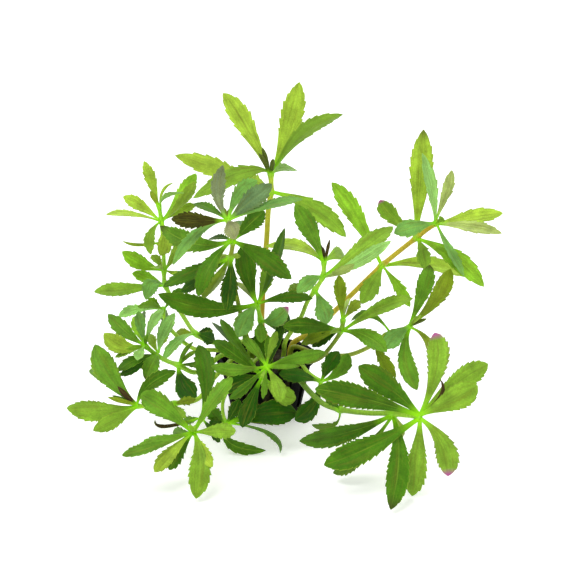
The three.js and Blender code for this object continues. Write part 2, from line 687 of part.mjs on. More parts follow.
function settle(leaves, fixedPoints) {
  const cellOf = (p) => [Math.floor(p.x / CELL), Math.floor(p.y / CELL), Math.floor(p.z / CELL)];
  for (let round = 0; round < SETTLE_ROUNDS; round++) {
    const all = [...fixedPoints, ...leaves.flatMap((leaf) => bladePoints(leaf, leaf))];
    const cells = new Map();
    for (const entry of all) {
      const key = cellOf(entry.point).join();
      if (!cells.has(key)) cells.set(key, []);
      cells.get(key).push(entry);
    }
    const pushes = new Map(leaves.map((leaf) => [leaf, { sum: 0, count: 0 }]));
    for (const entry of all) {
      if (!entry.owner) continue;
      const [cx, cy, cz] = cellOf(entry.point);
      for (let x = cx - 1; x <= cx + 1; x++) {
        for (let y = cy - 1; y <= cy + 1; y++) {
          for (let z = cz - 1; z <= cz + 1; z++) {
            for (const other of cells.get([x, y, z].join()) ?? []) {
              if (other.owner === entry.owner || other.group === entry.owner.group) continue;
              if (other.owner && other.owner.group === entry.owner.group) continue;
              const gap = entry.point.distanceTo(other.point);
              const wanted = CLEARANCE + (other.reach ?? 0);
              if (gap >= wanted) continue;
              const depth = entry.point.y - other.point.y;
              const push = pushes.get(entry.owner);
              push.sum += Math.sign(depth || 1) * (wanted - gap) * entry.share;
              push.count += 1;
            }
          }
        }
      }
    }
    let moved = 0;
    for (const [leaf, push] of pushes) {
      if (!push.count) continue;
      moved += 1;
      leaf.shift += SETTLE_STEP * push.sum / Math.sqrt(push.count);
      leaf.shift = Math.max(-LARGEST_SHIFT, Math.min(LARGEST_SHIFT, leaf.shift));
      while (shiftedTip(leaf).z < FLOOR_CLEARANCE) leaf.shift -= FLOOR_STEP;
    }
    if (!moved) break;
  }
}

function potSolid() {
  const rim = POT_DIAMETER / 2;
  const top = rim - RIM_OVERHANG;
  const foot = POT_FOOT_DIAMETER / 2;
  const underRim = POT_HEIGHT - POT_WALL;
  const profile = [
    [0, 0], [foot, 0], [top, underRim], [rim, underRim], [rim, POT_HEIGHT],
    [top - POT_WALL, POT_HEIGHT], [foot - POT_WALL, FLOOR_THICKNESS], [0, FLOOR_THICKNESS],
  ].map(([r, z]) => new THREE.Vector2(r, z));
  let pot = solid(new THREE.LatheGeometry([...profile, profile[0]], POT_SLOTS).rotateX(Math.PI / 2));
  for (let i = 0; i < POT_SLOTS; i++) {
    const slot = new THREE.BoxGeometry(SLOT_DEPTH, SLOT_WIDTH, SLOT_HEIGHT);
    slot.translate(top - SLOT_DEPTH / 4, 0, POT_HEIGHT / 2);
    slot.rotateZ((i + 0.5) * 2 * Math.PI / POT_SLOTS);
    pot = pot.subtract(solid(slot));
  }
  for (let i = 0; i < FOOT_SLOTS; i++) {
    const slot = new THREE.BoxGeometry(FOOT_SLOT_LENGTH, FOOT_SLOT_WIDTH, 3 * FLOOR_THICKNESS);
    slot.translate(0.6 * foot, 0, FLOOR_THICKNESS / 2);
    slot.rotateZ((i + 0.5) * 2 * Math.PI / FOOT_SLOTS);
    pot = pot.subtract(solid(slot));
  }
  return pot;
}

// The wool fills the pot up to its top, a gap inside the wall that it tapers with.
function woolSolid() {
  const foot = POT_FOOT_DIAMETER / 2 - POT_WALL - 2 * FIT_GAP;
  const taper = (POT_DIAMETER / 2 - RIM_OVERHANG - POT_FOOT_DIAMETER / 2) / POT_HEIGHT;
  const top = foot + taper * (WOOL_TOP - 2 * POT_WALL);
  const floor = FLOOR_THICKNESS + FIT_GAP;
  const profile = [
    [0, floor], [foot, floor], [top, WOOL_TOP - WOOL_EDGE], [top - WOOL_EDGE, WOOL_TOP], [0, WOOL_TOP],
  ].map(([r, z]) => new THREE.Vector2(r, z));
  return solid(new THREE.LatheGeometry(profile, POT_SLOTS).rotateX(Math.PI / 2));
}

function potPoints() {
  const points = [];
  for (let z = POT_WALL; z <= POT_HEIGHT; z += POT_POINT_RISE) {
    const radius = THREE.MathUtils.lerp(POT_FOOT_DIAMETER / 2, POT_DIAMETER / 2, z / POT_HEIGHT);
    for (let angle = 0; angle < 2 * Math.PI; angle += POT_POINT_TURN) {
      const point = new THREE.Vector3(radius * Math.cos(angle), radius * Math.sin(angle), z);
      points.push({ point, reach: POT_WALL });
    }
  }
  return points;
}

function stemPoints(shoot, curve) {
  const points = [];
  const count = Math.round(curve.getLength() / STEM_POINT_STEP);
  for (let i = 0; i <= count; i++) {
    points.push({ point: curve.getPointAt(i / count), reach: shoot.diameter / 2 });
  }
  return points;
}

// The node of a whorl sits on the straight run of its stem that comes nearest to the place in the table.
function nodeOn(curve, spot) {
  const corners = curve.getSpacedPoints(stepsOf(curve));
  let best = null;
  for (let i = 1; i < corners.length; i++) {
    const run = new THREE.Line3(corners[i - 1], corners[i]);
    const centre = run.closestPointToPoint(spot, true, new THREE.Vector3());
    const distance = centre.distanceTo(spot);
    if (!best || distance < best.distance) {
      best = { centre, distance, stemRun: run.delta(new THREE.Vector3()).normalize() };
    }
  }
  return best;
}

// The whorls stand open round their stem: leaves, a swollen node, and a hole for the stem to run through.
function whorlSolid(shoot, whorl, curve) {
  const { centre, stemRun } = whorl.node;
  const radius = shoot.diameter / 2 + COLLAR_WIDTH;
  const swelling = new THREE.CylinderGeometry(radius * COLLAR_TAPER, radius, COLLAR_HEIGHT, COLLAR_SIDES);
  swelling.applyQuaternion(new THREE.Quaternion().setFromUnitVectors(new THREE.Vector3(0, 1, 0), stemRun));
  swelling.translate(centre.x, centre.y, centre.z);
  let body = solid(swelling);
  for (const leaf of whorl.blades) body = body.add(leafSolid(leaf));
  const open = body.subtract(stemSolid(shoot, shoot.diameter / 2 + FIT_GAP, curve));
  return biggestPiece(lightened(open));
}

const plant = new THREE.Group();
plant.add(named("pot", potSolid(), finish(COLOURS.pot, 0.4)));
plant.add(named("growing_medium", woolSolid(), finish(COLOURS.wool, 0.95)));

const curves = new Map(SHOOTS.map((shoot) => [shoot, stemCurve(shoot)]));
const allLeaves = [];
for (const shoot of SHOOTS) {
  for (const whorl of shoot.whorls) {
    const axis = new THREE.Vector3(...whorl.axis).normalize();
    const startRadius = shoot.diameter / 2 + COLLAR_WIDTH / 2;
    whorl.node = nodeOn(curves.get(shoot), place(whorl.at));
    whorl.blades = whorl.leaves.map(([across, up, back, width, middle]) => (
      { node: whorl.node, axis, tip: [across, up, back], width, middle, shift: 0, group: whorl, startRadius }
    ));
    allLeaves.push(...whorl.blades);
  }
}
settle(allLeaves, [...potPoints(), ...SHOOTS.flatMap((shoot) => stemPoints(shoot, curves.get(shoot)))]);

for (const shoot of SHOOTS) {
  const curve = curves.get(shoot);
  plant.add(named(`stem_${shoot.name}`, stemSolid(shoot, shoot.diameter / 2, curve), finish(COLOURS.stem)));
  shoot.whorls.forEach((whorl, i) => {
    const colour = shoot.name === "plum" && i === 0 ? COLOURS.plumLeaf : COLOURS.leaf;
    plant.add(named(`whorl_${shoot.name}_${i + 1}`, whorlSolid(shoot, whorl, curve), finish(colour)));
  });
}

export default plant;
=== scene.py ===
# %% [markdown]
# # Limnophila hippuridoides in its net pot
# An aquarium plant grown above water. Bare stems rise or lean out of a small slotted pot, and at every
# node a ring of toothed, lance-shaped leaves stands round the stem. The solids already say where each
# stem, ring and leaf is. This script dresses them: every solid is replaced by a finer mesh that follows
# the same rule in more detail.

# %% Load the frame
import math
import random

import bmesh
import bpy
from mathutils import Matrix, Vector, noise


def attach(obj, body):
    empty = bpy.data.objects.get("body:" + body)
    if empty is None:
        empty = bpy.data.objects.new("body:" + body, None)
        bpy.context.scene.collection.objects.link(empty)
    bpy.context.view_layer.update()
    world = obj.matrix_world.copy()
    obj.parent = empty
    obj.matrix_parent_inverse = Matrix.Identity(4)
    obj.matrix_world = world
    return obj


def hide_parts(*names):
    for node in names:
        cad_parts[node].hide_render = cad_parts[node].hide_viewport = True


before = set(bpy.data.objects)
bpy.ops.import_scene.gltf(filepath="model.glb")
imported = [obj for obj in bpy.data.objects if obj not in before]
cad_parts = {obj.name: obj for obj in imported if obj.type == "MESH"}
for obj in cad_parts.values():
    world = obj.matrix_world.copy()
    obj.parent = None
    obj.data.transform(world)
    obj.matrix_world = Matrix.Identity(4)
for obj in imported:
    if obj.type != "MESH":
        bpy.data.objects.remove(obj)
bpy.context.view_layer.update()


def new_object(name, data):
    """An object that holds the data and is in the scene."""
    holder = bpy.data.objects.new(name, data)
    bpy.context.scene.collection.objects.link(holder)
    return holder


# %% [markdown]
# ## One way to say where things are
# The plant was laid out as it is seen from the front. A place is [across, up, back]: across and up are
# read in millimetres from the plant's middle, on a sheet square to the line of sight, and back is the
# depth behind that middle. All sizes are in millimetres, and MM turns them into the metres that Blender
# works in. The shoots lean out to the front and the left, so the plant's middle isn't quite the pot's. The
# same eye becomes the camera at the end, so the picture and the layout agree.

# %% Places
MM = 0.001
EYE_DISTANCE = 700
EYE_HEIGHT_ANGLE = math.radians(25)
MIDDLE = Vector((-4, -7, 0))
TO_EYE = Vector((0, -math.cos(EYE_HEIGHT_ANGLE), math.sin(EYE_HEIGHT_ANGLE)))
EYE = MIDDLE + TO_EYE * EYE_DISTANCE
LOOKED_AT = MIDDLE + Vector((13.44, 0, 69.14))
SHEET_CENTRE = (13.5, 65.5)
SHEET_WIDTH = 285
SIGHT = (LOOKED_AT - EYE).normalized()
SIGHT_RIGHT = SIGHT.cross(Vector((0, 0, 1))).normalized()
SIGHT_UP = SIGHT_RIGHT.cross(SIGHT)


def sight_line(across, up):
    """The direction from the eye through a point of the sheet."""
    sideways = SIGHT_RIGHT * (across - SHEET_CENTRE[0])
    return SIGHT * EYE_DISTANCE + sideways + SIGHT_UP * (up - SHEET_CENTRE[1])


def place(across, up, back):
    """The point of the plant, in millimetres, that is seen there at that depth."""
    ray = sight_line(across, up)
    return EYE + ray * ((MIDDLE.y + back - EYE.y) / ray.y)


print("the plant's middle is at", [round(value, 2) for value in place(0, 0, 0)])

# %% [markdown]
# ## The plant's own table
# A leaf row is [across, up, back, seen width] of the leaf's tip. It may add the place that the middle of
# the midrib passes through, where the leaf arches. Rows narrower than 3.2 mm are the folded young leaves of
# a bud. A ring's letters give the green of each leaf, with painted light and shade in it, in the order of the
# rows.

# %% Shoots
def leaves(at, axis, letters, *rows):
    """One ring of leaves: its place, the way it faces, one letter for each leaf's green with its painted
    light or shade, and the rows.
    """
    assert len(letters) == len(rows), letters
    return {"at": at, "axis": axis, "letters": letters, "leaves": rows}


def new_shoot(name, diameter, root, route, *whorls):
    """One stem, from its root in the wool along its route, with its rings of leaves from the top down."""
    return {"name": name, "diameter": diameter, "root": root, "route": route, "whorls": whorls}


SHOOTS = [
  new_shoot("crown", 2.8, [1, 7],
    [[2, 45, 8], [2.2, 58, 8], [3.2, 73, 8], [4.3, 88, 8], [5.2, 103, 8], [6.5, 113, 8], [6.4, 122, 8]],
    leaves([6.4, 121.5, 8], [0, 0, 1], "yygmgnnn",
      [-17.5, 161.5, 20, 10.5], [20.7, 167, 18, 11, [15.5, 145, 14]], [42.5, 150.8, -8, 8, [22, 140.5, 0]],
      [19, 123, -16, 5.5], [-32.5, 108.8, -4, 8, [-7, 121.5, 2]], [2, 134.5, 6, 2.6], [0.3, 131.5, 2, 2.4],
      [7.6, 128.5, 3, 2.6]),
    leaves([6.3, 112, 8], [0, 0, 1], "ygy",
      [-41.5, 130.3, 18, 10, [-16, 121.5, 14]], [44, 89.5, 4, 10, [27, 104, 6]], [-9, 117.5, 38, 8])),
  new_shoot("plum", 2.2, [-6, -5],
    [[-7, 44, -12], [-11, 61, -20], [-14, 72, -25], [-13.5, 80, -27], [-12.6, 88, -28],
     [-15.2, 98.5, -30]],
    leaves([-15.2, 98, -30], [-0.1, -0.25, 1], "vbwbpqdboo",
      [-17.5, 125.5, -24, 7.5, [-20, 111, -26]], [-0.3, 117.8, -12, 8, [-9.5, 111, -20]],
      [7, 116, -34, 10, [-4.5, 107, -34]], [22.5, 108.3, -40, 4.8, [4, 104.5, -37]],
      [-43.5, 98.5, -36, 8.4, [-30, 97.8, -34]], [-11.2, 88.3, -54, 8.5], [-32, 106.2, -12, 5],
      [-42.5, 75.5, -38, 5, [-29.5, 91.5, -30]], [-14, 103.5, -30, 2.6], [-17.8, 104.5, -28, 2.6]),
    leaves([-12.8, 87.6, -28], [0.05, -0.25, 1], "dddkhd",
      [-30, 59.7, -48, 8.2, [-23.5, 76, -42]], [16.8, 68.5, -50, 10.5, [1.5, 80, -43]],
      [3.3, 102.5, -12, 9, [-4.5, 95.5, -20]], [-24.5, 88.5, -12, 3.4], [-49, 95, -14, 10, [-31, 86, -22]],
      [-5, 97.5, 6, 7]),
    leaves([-13.6, 79, -27], [0, -0.2, 1], "kdoyyk",
      [-15.8, 52.5, -44, 8.8, [-14, 67, -37]], [-47.5, 64.5, -24, 6.5, [-30, 72.5, -21]],
      [-27, 58.5, -4, 7, [-20.5, 68, -14]], [-20.5, 78, -12, 3], [-9, 79.5, -14, 3],
      [-38.5, 62.5, -12, 5.5, [-27, 69.5, -19]])),
  new_shoot("heart", 2.2, [2, -10],
    [[2, 40, -17], [1.2, 48, -18], [-0.5, 56, -19]],
    leaves([-0.5, 56, -19], [0, -0.2, 1], "dbddodg",
      [-50, 61, -30, 10.5, [-25, 53.5, -27]], [-9.8, 39.3, -38, 10, [-6, 48.5, -31]],
      [-7.5, 86, -13, 10.5, [-5.3, 71, -13]], [13.5, 94, -12, 5.6, [8, 74, -13]], [-11, 67, 0, 3.6],
      [27.4, 58.6, -24, 6, [13, 59, -20]], [5, 76, 2, 7, [3.5, 66, -6]]),
    leaves([1.2, 48, -18], [0, -0.3, 1], "Bkh",
      [15.2, 54.6, -36, 9, [8.5, 48.3, -28]], [14, 52.5, -8, 7, [12, 44, -12]], [1.5, 36.5, -30, 6.5])),
  new_shoot("grey", 2.2, [8, -4],
    [[14, 38, -11], [21.5, 49.5, -17], [24.6, 57, -20], [28.5, 63, -22], [32.5, 70, -24], [33, 77.5, -24]],
    leaves([33, 77.2, -24], [0, 0, 1], "hygnnn",
      [18.5, 106, -22, 9.8, [26.5, 92, -25]], [3.5, 84.7, 8, 7.6, [19.5, 84.6, -5]],
      [44, 78.3, 8, 7.5, [40, 80.5, -6]], [31, 86.2, -24, 2.4], [32.4, 84.5, -21, 2.2],
      [36, 88.5, -23, 1.8]),
    leaves([32.6, 70, -24], [0.1, -0.2, 1], "gmbr",
      [67.5, 94.8, -10, 8, [51, 82.5, -20]], [66.5, 87.7, -28, 7, [50, 76.5, -31]],
      [19.5, 61.5, -44, 7.5, [26, 67.5, -37]], [48, 76, -42, 3.6, [40, 71, -36]]),
    leaves([28.7, 63, -22], [0.3, -0.2, 0.9], "by",
      [34.5, 46, -42, 9.5, [32.5, 54, -35]], [15, 62.5, -2, 4])),
  new_shoot("right", 2.6, [12, 6],
    [[27, 42, 12], [44, 58, 17], [62, 75.3, 20], [79, 89, 20], [89, 96.5, 18], [90.5, 97.5, 18]],
    leaves([89, 96.5, 18], [0.5, -0.1, 0.8], "mryrbbg",
      [82, 131.5, 20, 6, [87, 111, 16]], [97, 123, 26, 6], [122.5, 101.5, 28, 6.5, [105, 99, 24]],
      [122, 91.3, 4, 5.8, [104, 94.7, 10]], [68, 91.3, -8, 8.6, [78, 94.5, 2]],
      [103, 69.5, -4, 5.2, [95.5, 83, 6]], [92.8, 98.8, 12, 3.4]),
    leaves([79.3, 89.2, 20], [0.5, 0, 0.8], "yGlg",
      [82.8, 143.3, 34, 11.5, [81.2, 117, 28]], [61, 108, 28, 8.5, [67, 100, 27]],
      [113, 64.6, 2, 9.5, [96.5, 80, 9]], [84, 73, 2, 7]),
    leaves([62, 75.3, 20], [0.6, 0, 0.8], "lygl",
      [36.8, 116.8, 34, 9.6, [49, 99, 28]], [104, 69.5, 34, 8.5, [84, 76, 30]],
      [51.8, 56, 2, 9.2, [57.5, 66, 10]], [76, 54.5, 16, 5.8, [69.5, 65, 20]])),
  new_shoot("low_right", 2.2, [15, -7],
    [[25, 27, -17], [31, 29, -20], [37, 35.5, -22], [41.7, 43, -22], [42.6, 48.5, -21]],
    leaves([42.5, 48.2, -21], [0.1, -0.1, 1], "ooy",
      [40.5, 70.5, -12, 6.5, [41.3, 60, -16]], [51, 57.5, -6, 5.6], [44.5, 58, 2, 4]),
    leaves([41.7, 42.8, -22], [0.3, -0.3, 0.9], "dghgko",
      [12.5, 44.8, -32, 8.5, [27, 45, -29]], [77.5, 58.8, -28, 7.6, [60, 53, -27]],
      [64.5, 32, -44, 8.8, [54, 40, -36]], [36, 41.3, -40, 2.8], [27, 34.5, -14, 5.5],
      [21.5, 36, -10, 5.5, [32, 40.5, -17]])),
  new_shoot("far_right", 2.2, [12, 2],
    [[30, 31, 0], [45, 30.5, -5], [57, 35.3, -9], [66, 41.5, -11], [75.5, 44.5, -12], [77, 45.5, -12]],
    leaves([76, 44.8, -12], [0.5, -0.2, 0.8], "honybho",
      [86, 75.6, -6, 8.6, [82, 61, -8]], [96.3, 73.5, 4, 8.5, [88.5, 58.5, -3]], [84.5, 48.6, -18, 2],
      [81.2, 50.3, -14, 2.4], [63.5, 33.5, -36, 9, [69.5, 40.5, -25]],
      [79.6, 13, -42, 9, [73.5, 29.5, -30]], [87, 20, -12, 4.5, [85, 36, -13]]),
    leaves([66, 41.6, -11], [0.6, -0.2, 0.7], "hy",
      [46.5, 47.5, 0, 4.6, [56, 50.5, -5]], [61, 39, -20, 2.6]),
    leaves([58.5, 36, -9.3], [0.6, -0.3, 0.7], "o",
      [69, 19.3, -22, 6.3, [61.8, 29.4, -15]])),
  new_shoot("short", 2, [12, -9],
    [[26, 21, -25], [32, 16.8, -30]],
    leaves([31.5, 17, -29.6], [0.6, -0.4, 0.5], "khdkk",
      [40.5, 32.3, -32, 7.6, [35.5, 25, -33]], [44.7, 31.3, -18, 8, [40.5, 22.5, -24]], [33, 27, -16, 3.8],
      [10.5, 21, -37, 7.5, [21.5, 20, -36]], [18.3, -2, -42, 9.5, [27, 4.8, -38]])),
  new_shoot("front_right", 2.6, [7, -13],
    [[17, 23, -30], [26, 12, -43], [33, 6, -50], [41, 3.3, -56], [54, 1.6, -65], [67, 1.2, -72],
    [81.5, -0.3, -79]],
    leaves([81, -0.2, -78.7], [0.3, -0.85, 0.45], "GggGgdddlln",
      [88.3, 41.6, -60, 11.5, [89.3, 24, -68]], [115, 26, -64, 11, [98, 15.5, -72]],
      [109.8, 15.2, -84, 13, [96, 7.5, -84]], [95, -30, -90, 11.5, [92.5, -14, -87]],
      [77, -40, -86, 11, [79.8, -20, -84]], [33, -24.5, -84, 13, [57, -15, -82]],
      [50.2, 25, -72, 12.5, [67, 13, -77]], [28.5, 13.5, -84, 12.8, [54, 8.5, -83]], [79.3, 1.5, -84, 2.8],
      [83.6, 2.2, -85, 2.6], [91, 18.5, -76, 2.2, [91.5, 10, -79]]),
    leaves([67.3, 1.2, -72.2], [1, -0.2, 0.1], "ddko",
      [20.7, -12.5, -70, 11, [45, -8, -72]], [66.3, -46.8, -102, 11.5, [70.3, -20, -86]],
      [37.5, -28.5, -72, 7, [52, -18, -72]], [70, -14.5, -58, 5]),
    leaves([41, 3.3, -56], [1, -0.2, 0], "kd",
      [26.8, -4.3, -50, 3.6, [37.5, -4.6, -54]], [33.4, 9.6, -63, 4.4])),
  new_shoot("front_left", 2.2, [-6, -13],
    [[-15, 18, -30], [-22, 8, -43], [-28, -1, -55], [-32.6, -8.5, -67]],
    leaves([-32.5, -8.3, -66.7], [-0.1, -0.9, 0.4], "hhgygyhhlldhy",
      [-58.5, 11, -58, 11.5, [-46, 3.2, -64]], [-13, 19.3, -58, 8, [-23, 6.5, -66]],
      [-11, -7.3, -84, 8, [-21, -7.5, -79]], [-22.7, -25.5, -86, 6.2],
      [-31, -41.3, -90, 11, [-29, -22, -82]], [-51.8, -28, -84, 7.2, [-43, -18, -79]],
      [-60.5, -15.8, -78, 5.8, [-46, -12, -76]], [-68, -19.5, -84, 6.2, [-52, -15.5, -81]],
      [-34.2, -4.3, -73, 2.6], [-31.3, -4.6, -73, 2.6], [-44.5, -27, -72, 6.2], [-42.5, -8, -54, 5.5],
      [-25.3, -19.3, -68, 3.8]),
    leaves([-28, -1, -55], [-0.2, -0.5, 0.7], "dhkn",
      [-29.8, 35.5, -36, 10, [-25.8, 18, -47]], [-37, -3, -50, 4.5], [-19, -13, -48, 4.5],
      [-51.5, -2, -62, 2, [-46.5, -5.2, -60]])),
  new_shoot("low_left", 2.2, [-11, -7],
    [[-22, 19, -23], [-30, 8.5, -32], [-42, 6.2, -40], [-55, 4.8, -46], [-61, 5, -48.5]],
    leaves([-60.7, 5, -48.4], [-0.75, -0.5, 0.4], "gghhdnod",
      [-95.7, 4, -42, 10.5, [-78, 2.6, -48]], [-82.5, -7.3, -68, 8, [-71, -1.5, -61]],
      [-81.5, 35.8, -30, 12, [-73.5, 19.5, -41]], [-84.2, 21.6, -24, 4.4, [-74.5, 18, -34]],
      [-41, 22.5, -42, 7.5, [-54.5, 15.5, -50]], [-70.2, 15, -48, 3], [-75.3, 9.5, -52, 2.6],
      [-73, 10.4, -46, 2.4]),
    leaves([-42, 6.2, -40], [-0.9, -0.4, 0.1], "go",
      [-36, -1, -52, 5], [-31, 8.5, -46, 4.5])),
  new_shoot("outer_left", 2.4, [-11, -3],
    [[-19, 30, -11], [-26, 24, -17], [-32, 21.8, -19], [-39.5, 25.3, -17], [-45, 27.3, -15],
    [-50, 30, -13], [-57, 35.5, -16]],
    leaves([-56.7, 35.3, -15.8], [-0.5, -0.6, 0.6], "hylbmdmlgh",
      [-75, 51, -6, 7.6, [-66, 42, -13]], [-77, 41.5, -16, 9, [-68, 35, -18]], [-62.5, 49.5, 2, 4.2],
      [-59.7, 52.5, -12, 5.6], [-47, 53, -10, 5.2, [-52.8, 46.5, -14]], [-57, 52.5, 8, 4],
      [-60.3, 27.8, -36, 4.8], [-66, 33.5, -26, 2.6], [-71.5, 29.3, -20, 3.4, [-65, 32, -19]],
      [-55.2, 41.5, -22, 2]),
    leaves([-50, 31, -11], [-0.7, -0.3, 0.7], "hdkmyy",
      [-56.5, 18.4, -32, 8.2, [-52.5, 27, -24]], [-70.5, 22.3, -26, 4.8, [-60, 28.5, -21]],
      [-69, 20.3, -12, 4.8, [-60, 25, -13]], [-41.5, 51.5, -2, 6.8, [-47.5, 41, -8]], [-45.5, 42, 8, 5],
      [-54, 41, 2, 5]),
    leaves([-39.5, 25.3, -17], [-0.6, -0.3, 0.7], "kdgh",
      [-30.8, 8, -28, 10.5, [-37.2, 15.5, -23]], [-26, 24.2, -30, 3.6, [-32.5, 25.5, -25]],
      [-30, 32.5, -14, 2.4, [-34.5, 30.5, -15]], [-32, 37.3, -18, 2.4, [-36.5, 32.5, -17]])),
  new_shoot("mid_left", 2.2, [-12, 2],
    [[-18, 33, -5], [-25.5, 33, -7], [-30, 33, -6], [-35, 35.3, -3], [-40, 39.5, 2], [-44.5, 44.5, 6],
    [-47, 50, 8], [-47.5, 54, 7]],
    leaves([-47.4, 53.6, 7], [-0.3, -0.2, 1], "llmdd",
      [-60.3, 54.7, -8, 4.6, [-53.5, 55.3, -1]], [-55, 58.8, 4, 4.2],
      [-69.5, 49.3, 2, 5.2, [-61, 53.3, 5]], [-36.5, 63.5, 0, 5.2, [-42, 59.5, 3]], [-46, 47, 22, 4.5])),
  new_shoot("tall_left", 2.2, [-8, 7],
    [[-17, 36, 3], [-25, 37.5, 1], [-31.5, 41.5, 4], [-37.5, 50, 10], [-43, 59, 14], [-46.5, 66, 16],
    [-47, 76, 16], [-47.5, 88, 15], [-48.4, 98, 14], [-49.7, 106, 14]],
    leaves([-49.6, 105.6, 14], [-0.15, 0, 1], "yoym",
      [-57, 127.5, 20, 5.8, [-53, 116.5, 17]], [-54, 112.5, 8, 3], [-42, 116.7, 16, 1.6, [-47.3, 113, 15]],
      [-37, 111.5, 4, 3.2, [-45.5, 110, 9]]),
    leaves([-48.3, 97.6, 14], [-0.1, 0, 1], "yygyyly",
      [-67.5, 109.7, 20, 6.4], [-76, 100.5, 2, 3.6], [-53.5, 80.7, -4, 5.6, [-54, 90, 4]],
      [-49, 80.2, 4, 7.6, [-46.5, 88, 7]], [-31, 105.8, 26, 4.8, [-39, 102.5, 21]],
      [-31, 121.3, 26, 7, [-38, 110.5, 20]], [-31.3, 117.5, 10, 5.2, [-38, 107, 12]]),
    leaves([-47.4, 87, 15], [-0.1, 0, 1], "yy",
      [-68, 87.7, 12, 1.8, [-60, 85.6, 13]], [-40, 93, 28, 5]),
    leaves([-47, 73, 16], [0, -0.1, 1], "lyyyy",
      [-68, 82.3, 8, 7.8, [-58, 76.2, 12]], [-53, 80.5, 4, 4.6], [-52.5, 74, -2, 3.4],
      [-34, 68.5, 8, 3.4, [-41, 71, 10]], [-36, 88, 12, 6.6, [-41.5, 80.5, 14]]),
    leaves([-46.4, 65.5, 16], [0, -0.1, 1], "glb",
      [-82, 62, 4, 7.6, [-66, 63.3, 9]], [-63, 71.3, 18, 6], [-56, 58, -14, 7.6, [-53, 66, 0]]),
    leaves([-31, 41, 3.7], [-0.5, -0.2, 0.8], "mkok",
      [-47.8, 27, -14, 5, [-39.5, 37.7, -5]], [-21.5, 37.3, -12, 7, [-25.5, 39.5, -5]], [-41, 41.6, 14, 4],
      [-22.5, 42.5, 12, 4])),
  new_shoot("front", 2.2, [1, -17],
    [[1.5, 17, -29], [2.5, 21, -36], [4.3, 25, -45]],
    leaves([4.2, 24.8, -44.6], [0, -0.95, 0.3], "hdghhghhhh",
      [-23.5, 25, -52, 6, [-10, 23.3, -52]], [-14.5, 8.6, -58, 5, [-6, 15, -54]],
      [11, 6.8, -62, 7.8, [9.5, 15.5, -56]], [34, 31.8, -44, 6.5, [18, 28.6, -49]], [21, 25, -54, 2.8],
      [9.6, 42.3, -34, 4.2, [6.7, 35, -41]], [5.2, 40.5, -28, 3.6], [-7.6, 40, -36, 4.4, [-2.8, 34, -42]],
      [-3.8, 39.3, -28, 3], [2.4, 8.5, -52, 3.6]),
    leaves([2.2, 20, -34], [0, -0.7, 0.5], "hddkgkkd",
      [-18.5, 48.5, -24, 6, [-11.5, 37, -31]], [-22.8, 46.8, -16, 4.4, [-13.5, 37, -26]],
      [-22.3, 37.7, -34, 7, [-11.5, 30.5, -38]], [-7.8, -5.8, -48, 8.5, [-4, 6, -45]],
      [19, 8.6, -40, 9.5, [11, 11.5, -41]], [13.5, 51, -24, 5, [9.5, 36.5, -29]],
      [-18.5, 12, -39, 8.5, [-8.5, 17.5, -37]], [0, 45.5, -24, 6, [1.2, 33.5, -30]])),
  new_shoot("trailing", 1.8, [0, -7],
    [[-12, 17, -28], [-17.3, 8, -35], [-17.6, 2, -38], [-16, -4, -41]],
    leaves([-16.2, -3.6, -40.8], [0.3, -0.8, -0.4], "dkdkkd",
      [4, -17.2, -43.5, 6, [-13.2, -14, -43]], [19.5, 1.4, -37, 13, [3.5, 1.2, -42]],
      [11, -18.5, -44, 3.6, [6, -8.6, -44]], [-24.5, -3, -46, 5], [-9.5, 8.5, -41, 6.5],
      [-24.5, 4.5, -38, 7.5, [-21, 0, -40]])),
]

LEAF_ROWS = sum(len(whorl["leaves"]) for shoot in SHOOTS for whorl in shoot["whorls"])
print("shoots", len(SHOOTS), "leaves", LEAF_ROWS)

# %% [markdown]
# ## Where each leaf's tip really stands
# In the solids, leaves that would have passed through a neighbour gave way along their line of sight. The
# tip of every leaf is a corner of its whorl's solid, so the shift is measured there: it is the depth of
# the corner that lies closest to the line of sight through the tip.

# %% Read the tips from the solids
TIP_SEARCH = 25
TIP_MISS = 2.0


def tip_shift(corners, across, up, back):
    """How far behind its row's depth the solid's tip stands."""
    direction = sight_line(across, up).normalized()
    best = (TIP_MISS, 0.0)
    for corner in corners:
        behind = corner.y - MIDDLE.y - back
        offset = corner - EYE
        miss = (offset - direction * offset.dot(direction)).length
        if abs(behind) <= TIP_SEARCH and miss < best[0]:
            best = (miss, behind)
    return best[1]


shifts = {}
for shoot in SHOOTS:
    for number, whorl in enumerate(shoot["whorls"], 1):
        node = f"whorl_{shoot['name']}_{number}"
        corners = [vertex.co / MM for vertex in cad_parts[node].data.vertices]
        shifts[node] = [tip_shift(corners, *row[:3]) for row in whorl["leaves"]]
print("largest shift", round(max(abs(value) for row in shifts.values() for value in row), 1), "mm")

# %% [markdown]
# ## Leaf spines
# A blade is easiest to make from its midrib outwards. For each leaf a chain of points follows the midrib,
# and each point carries what the blade needs there: which way is across, which way is up, half the width,
# where it lies between base and tip, and where it lies in the rhythm of the teeth. One mesh holds all the
# midribs of a whorl.

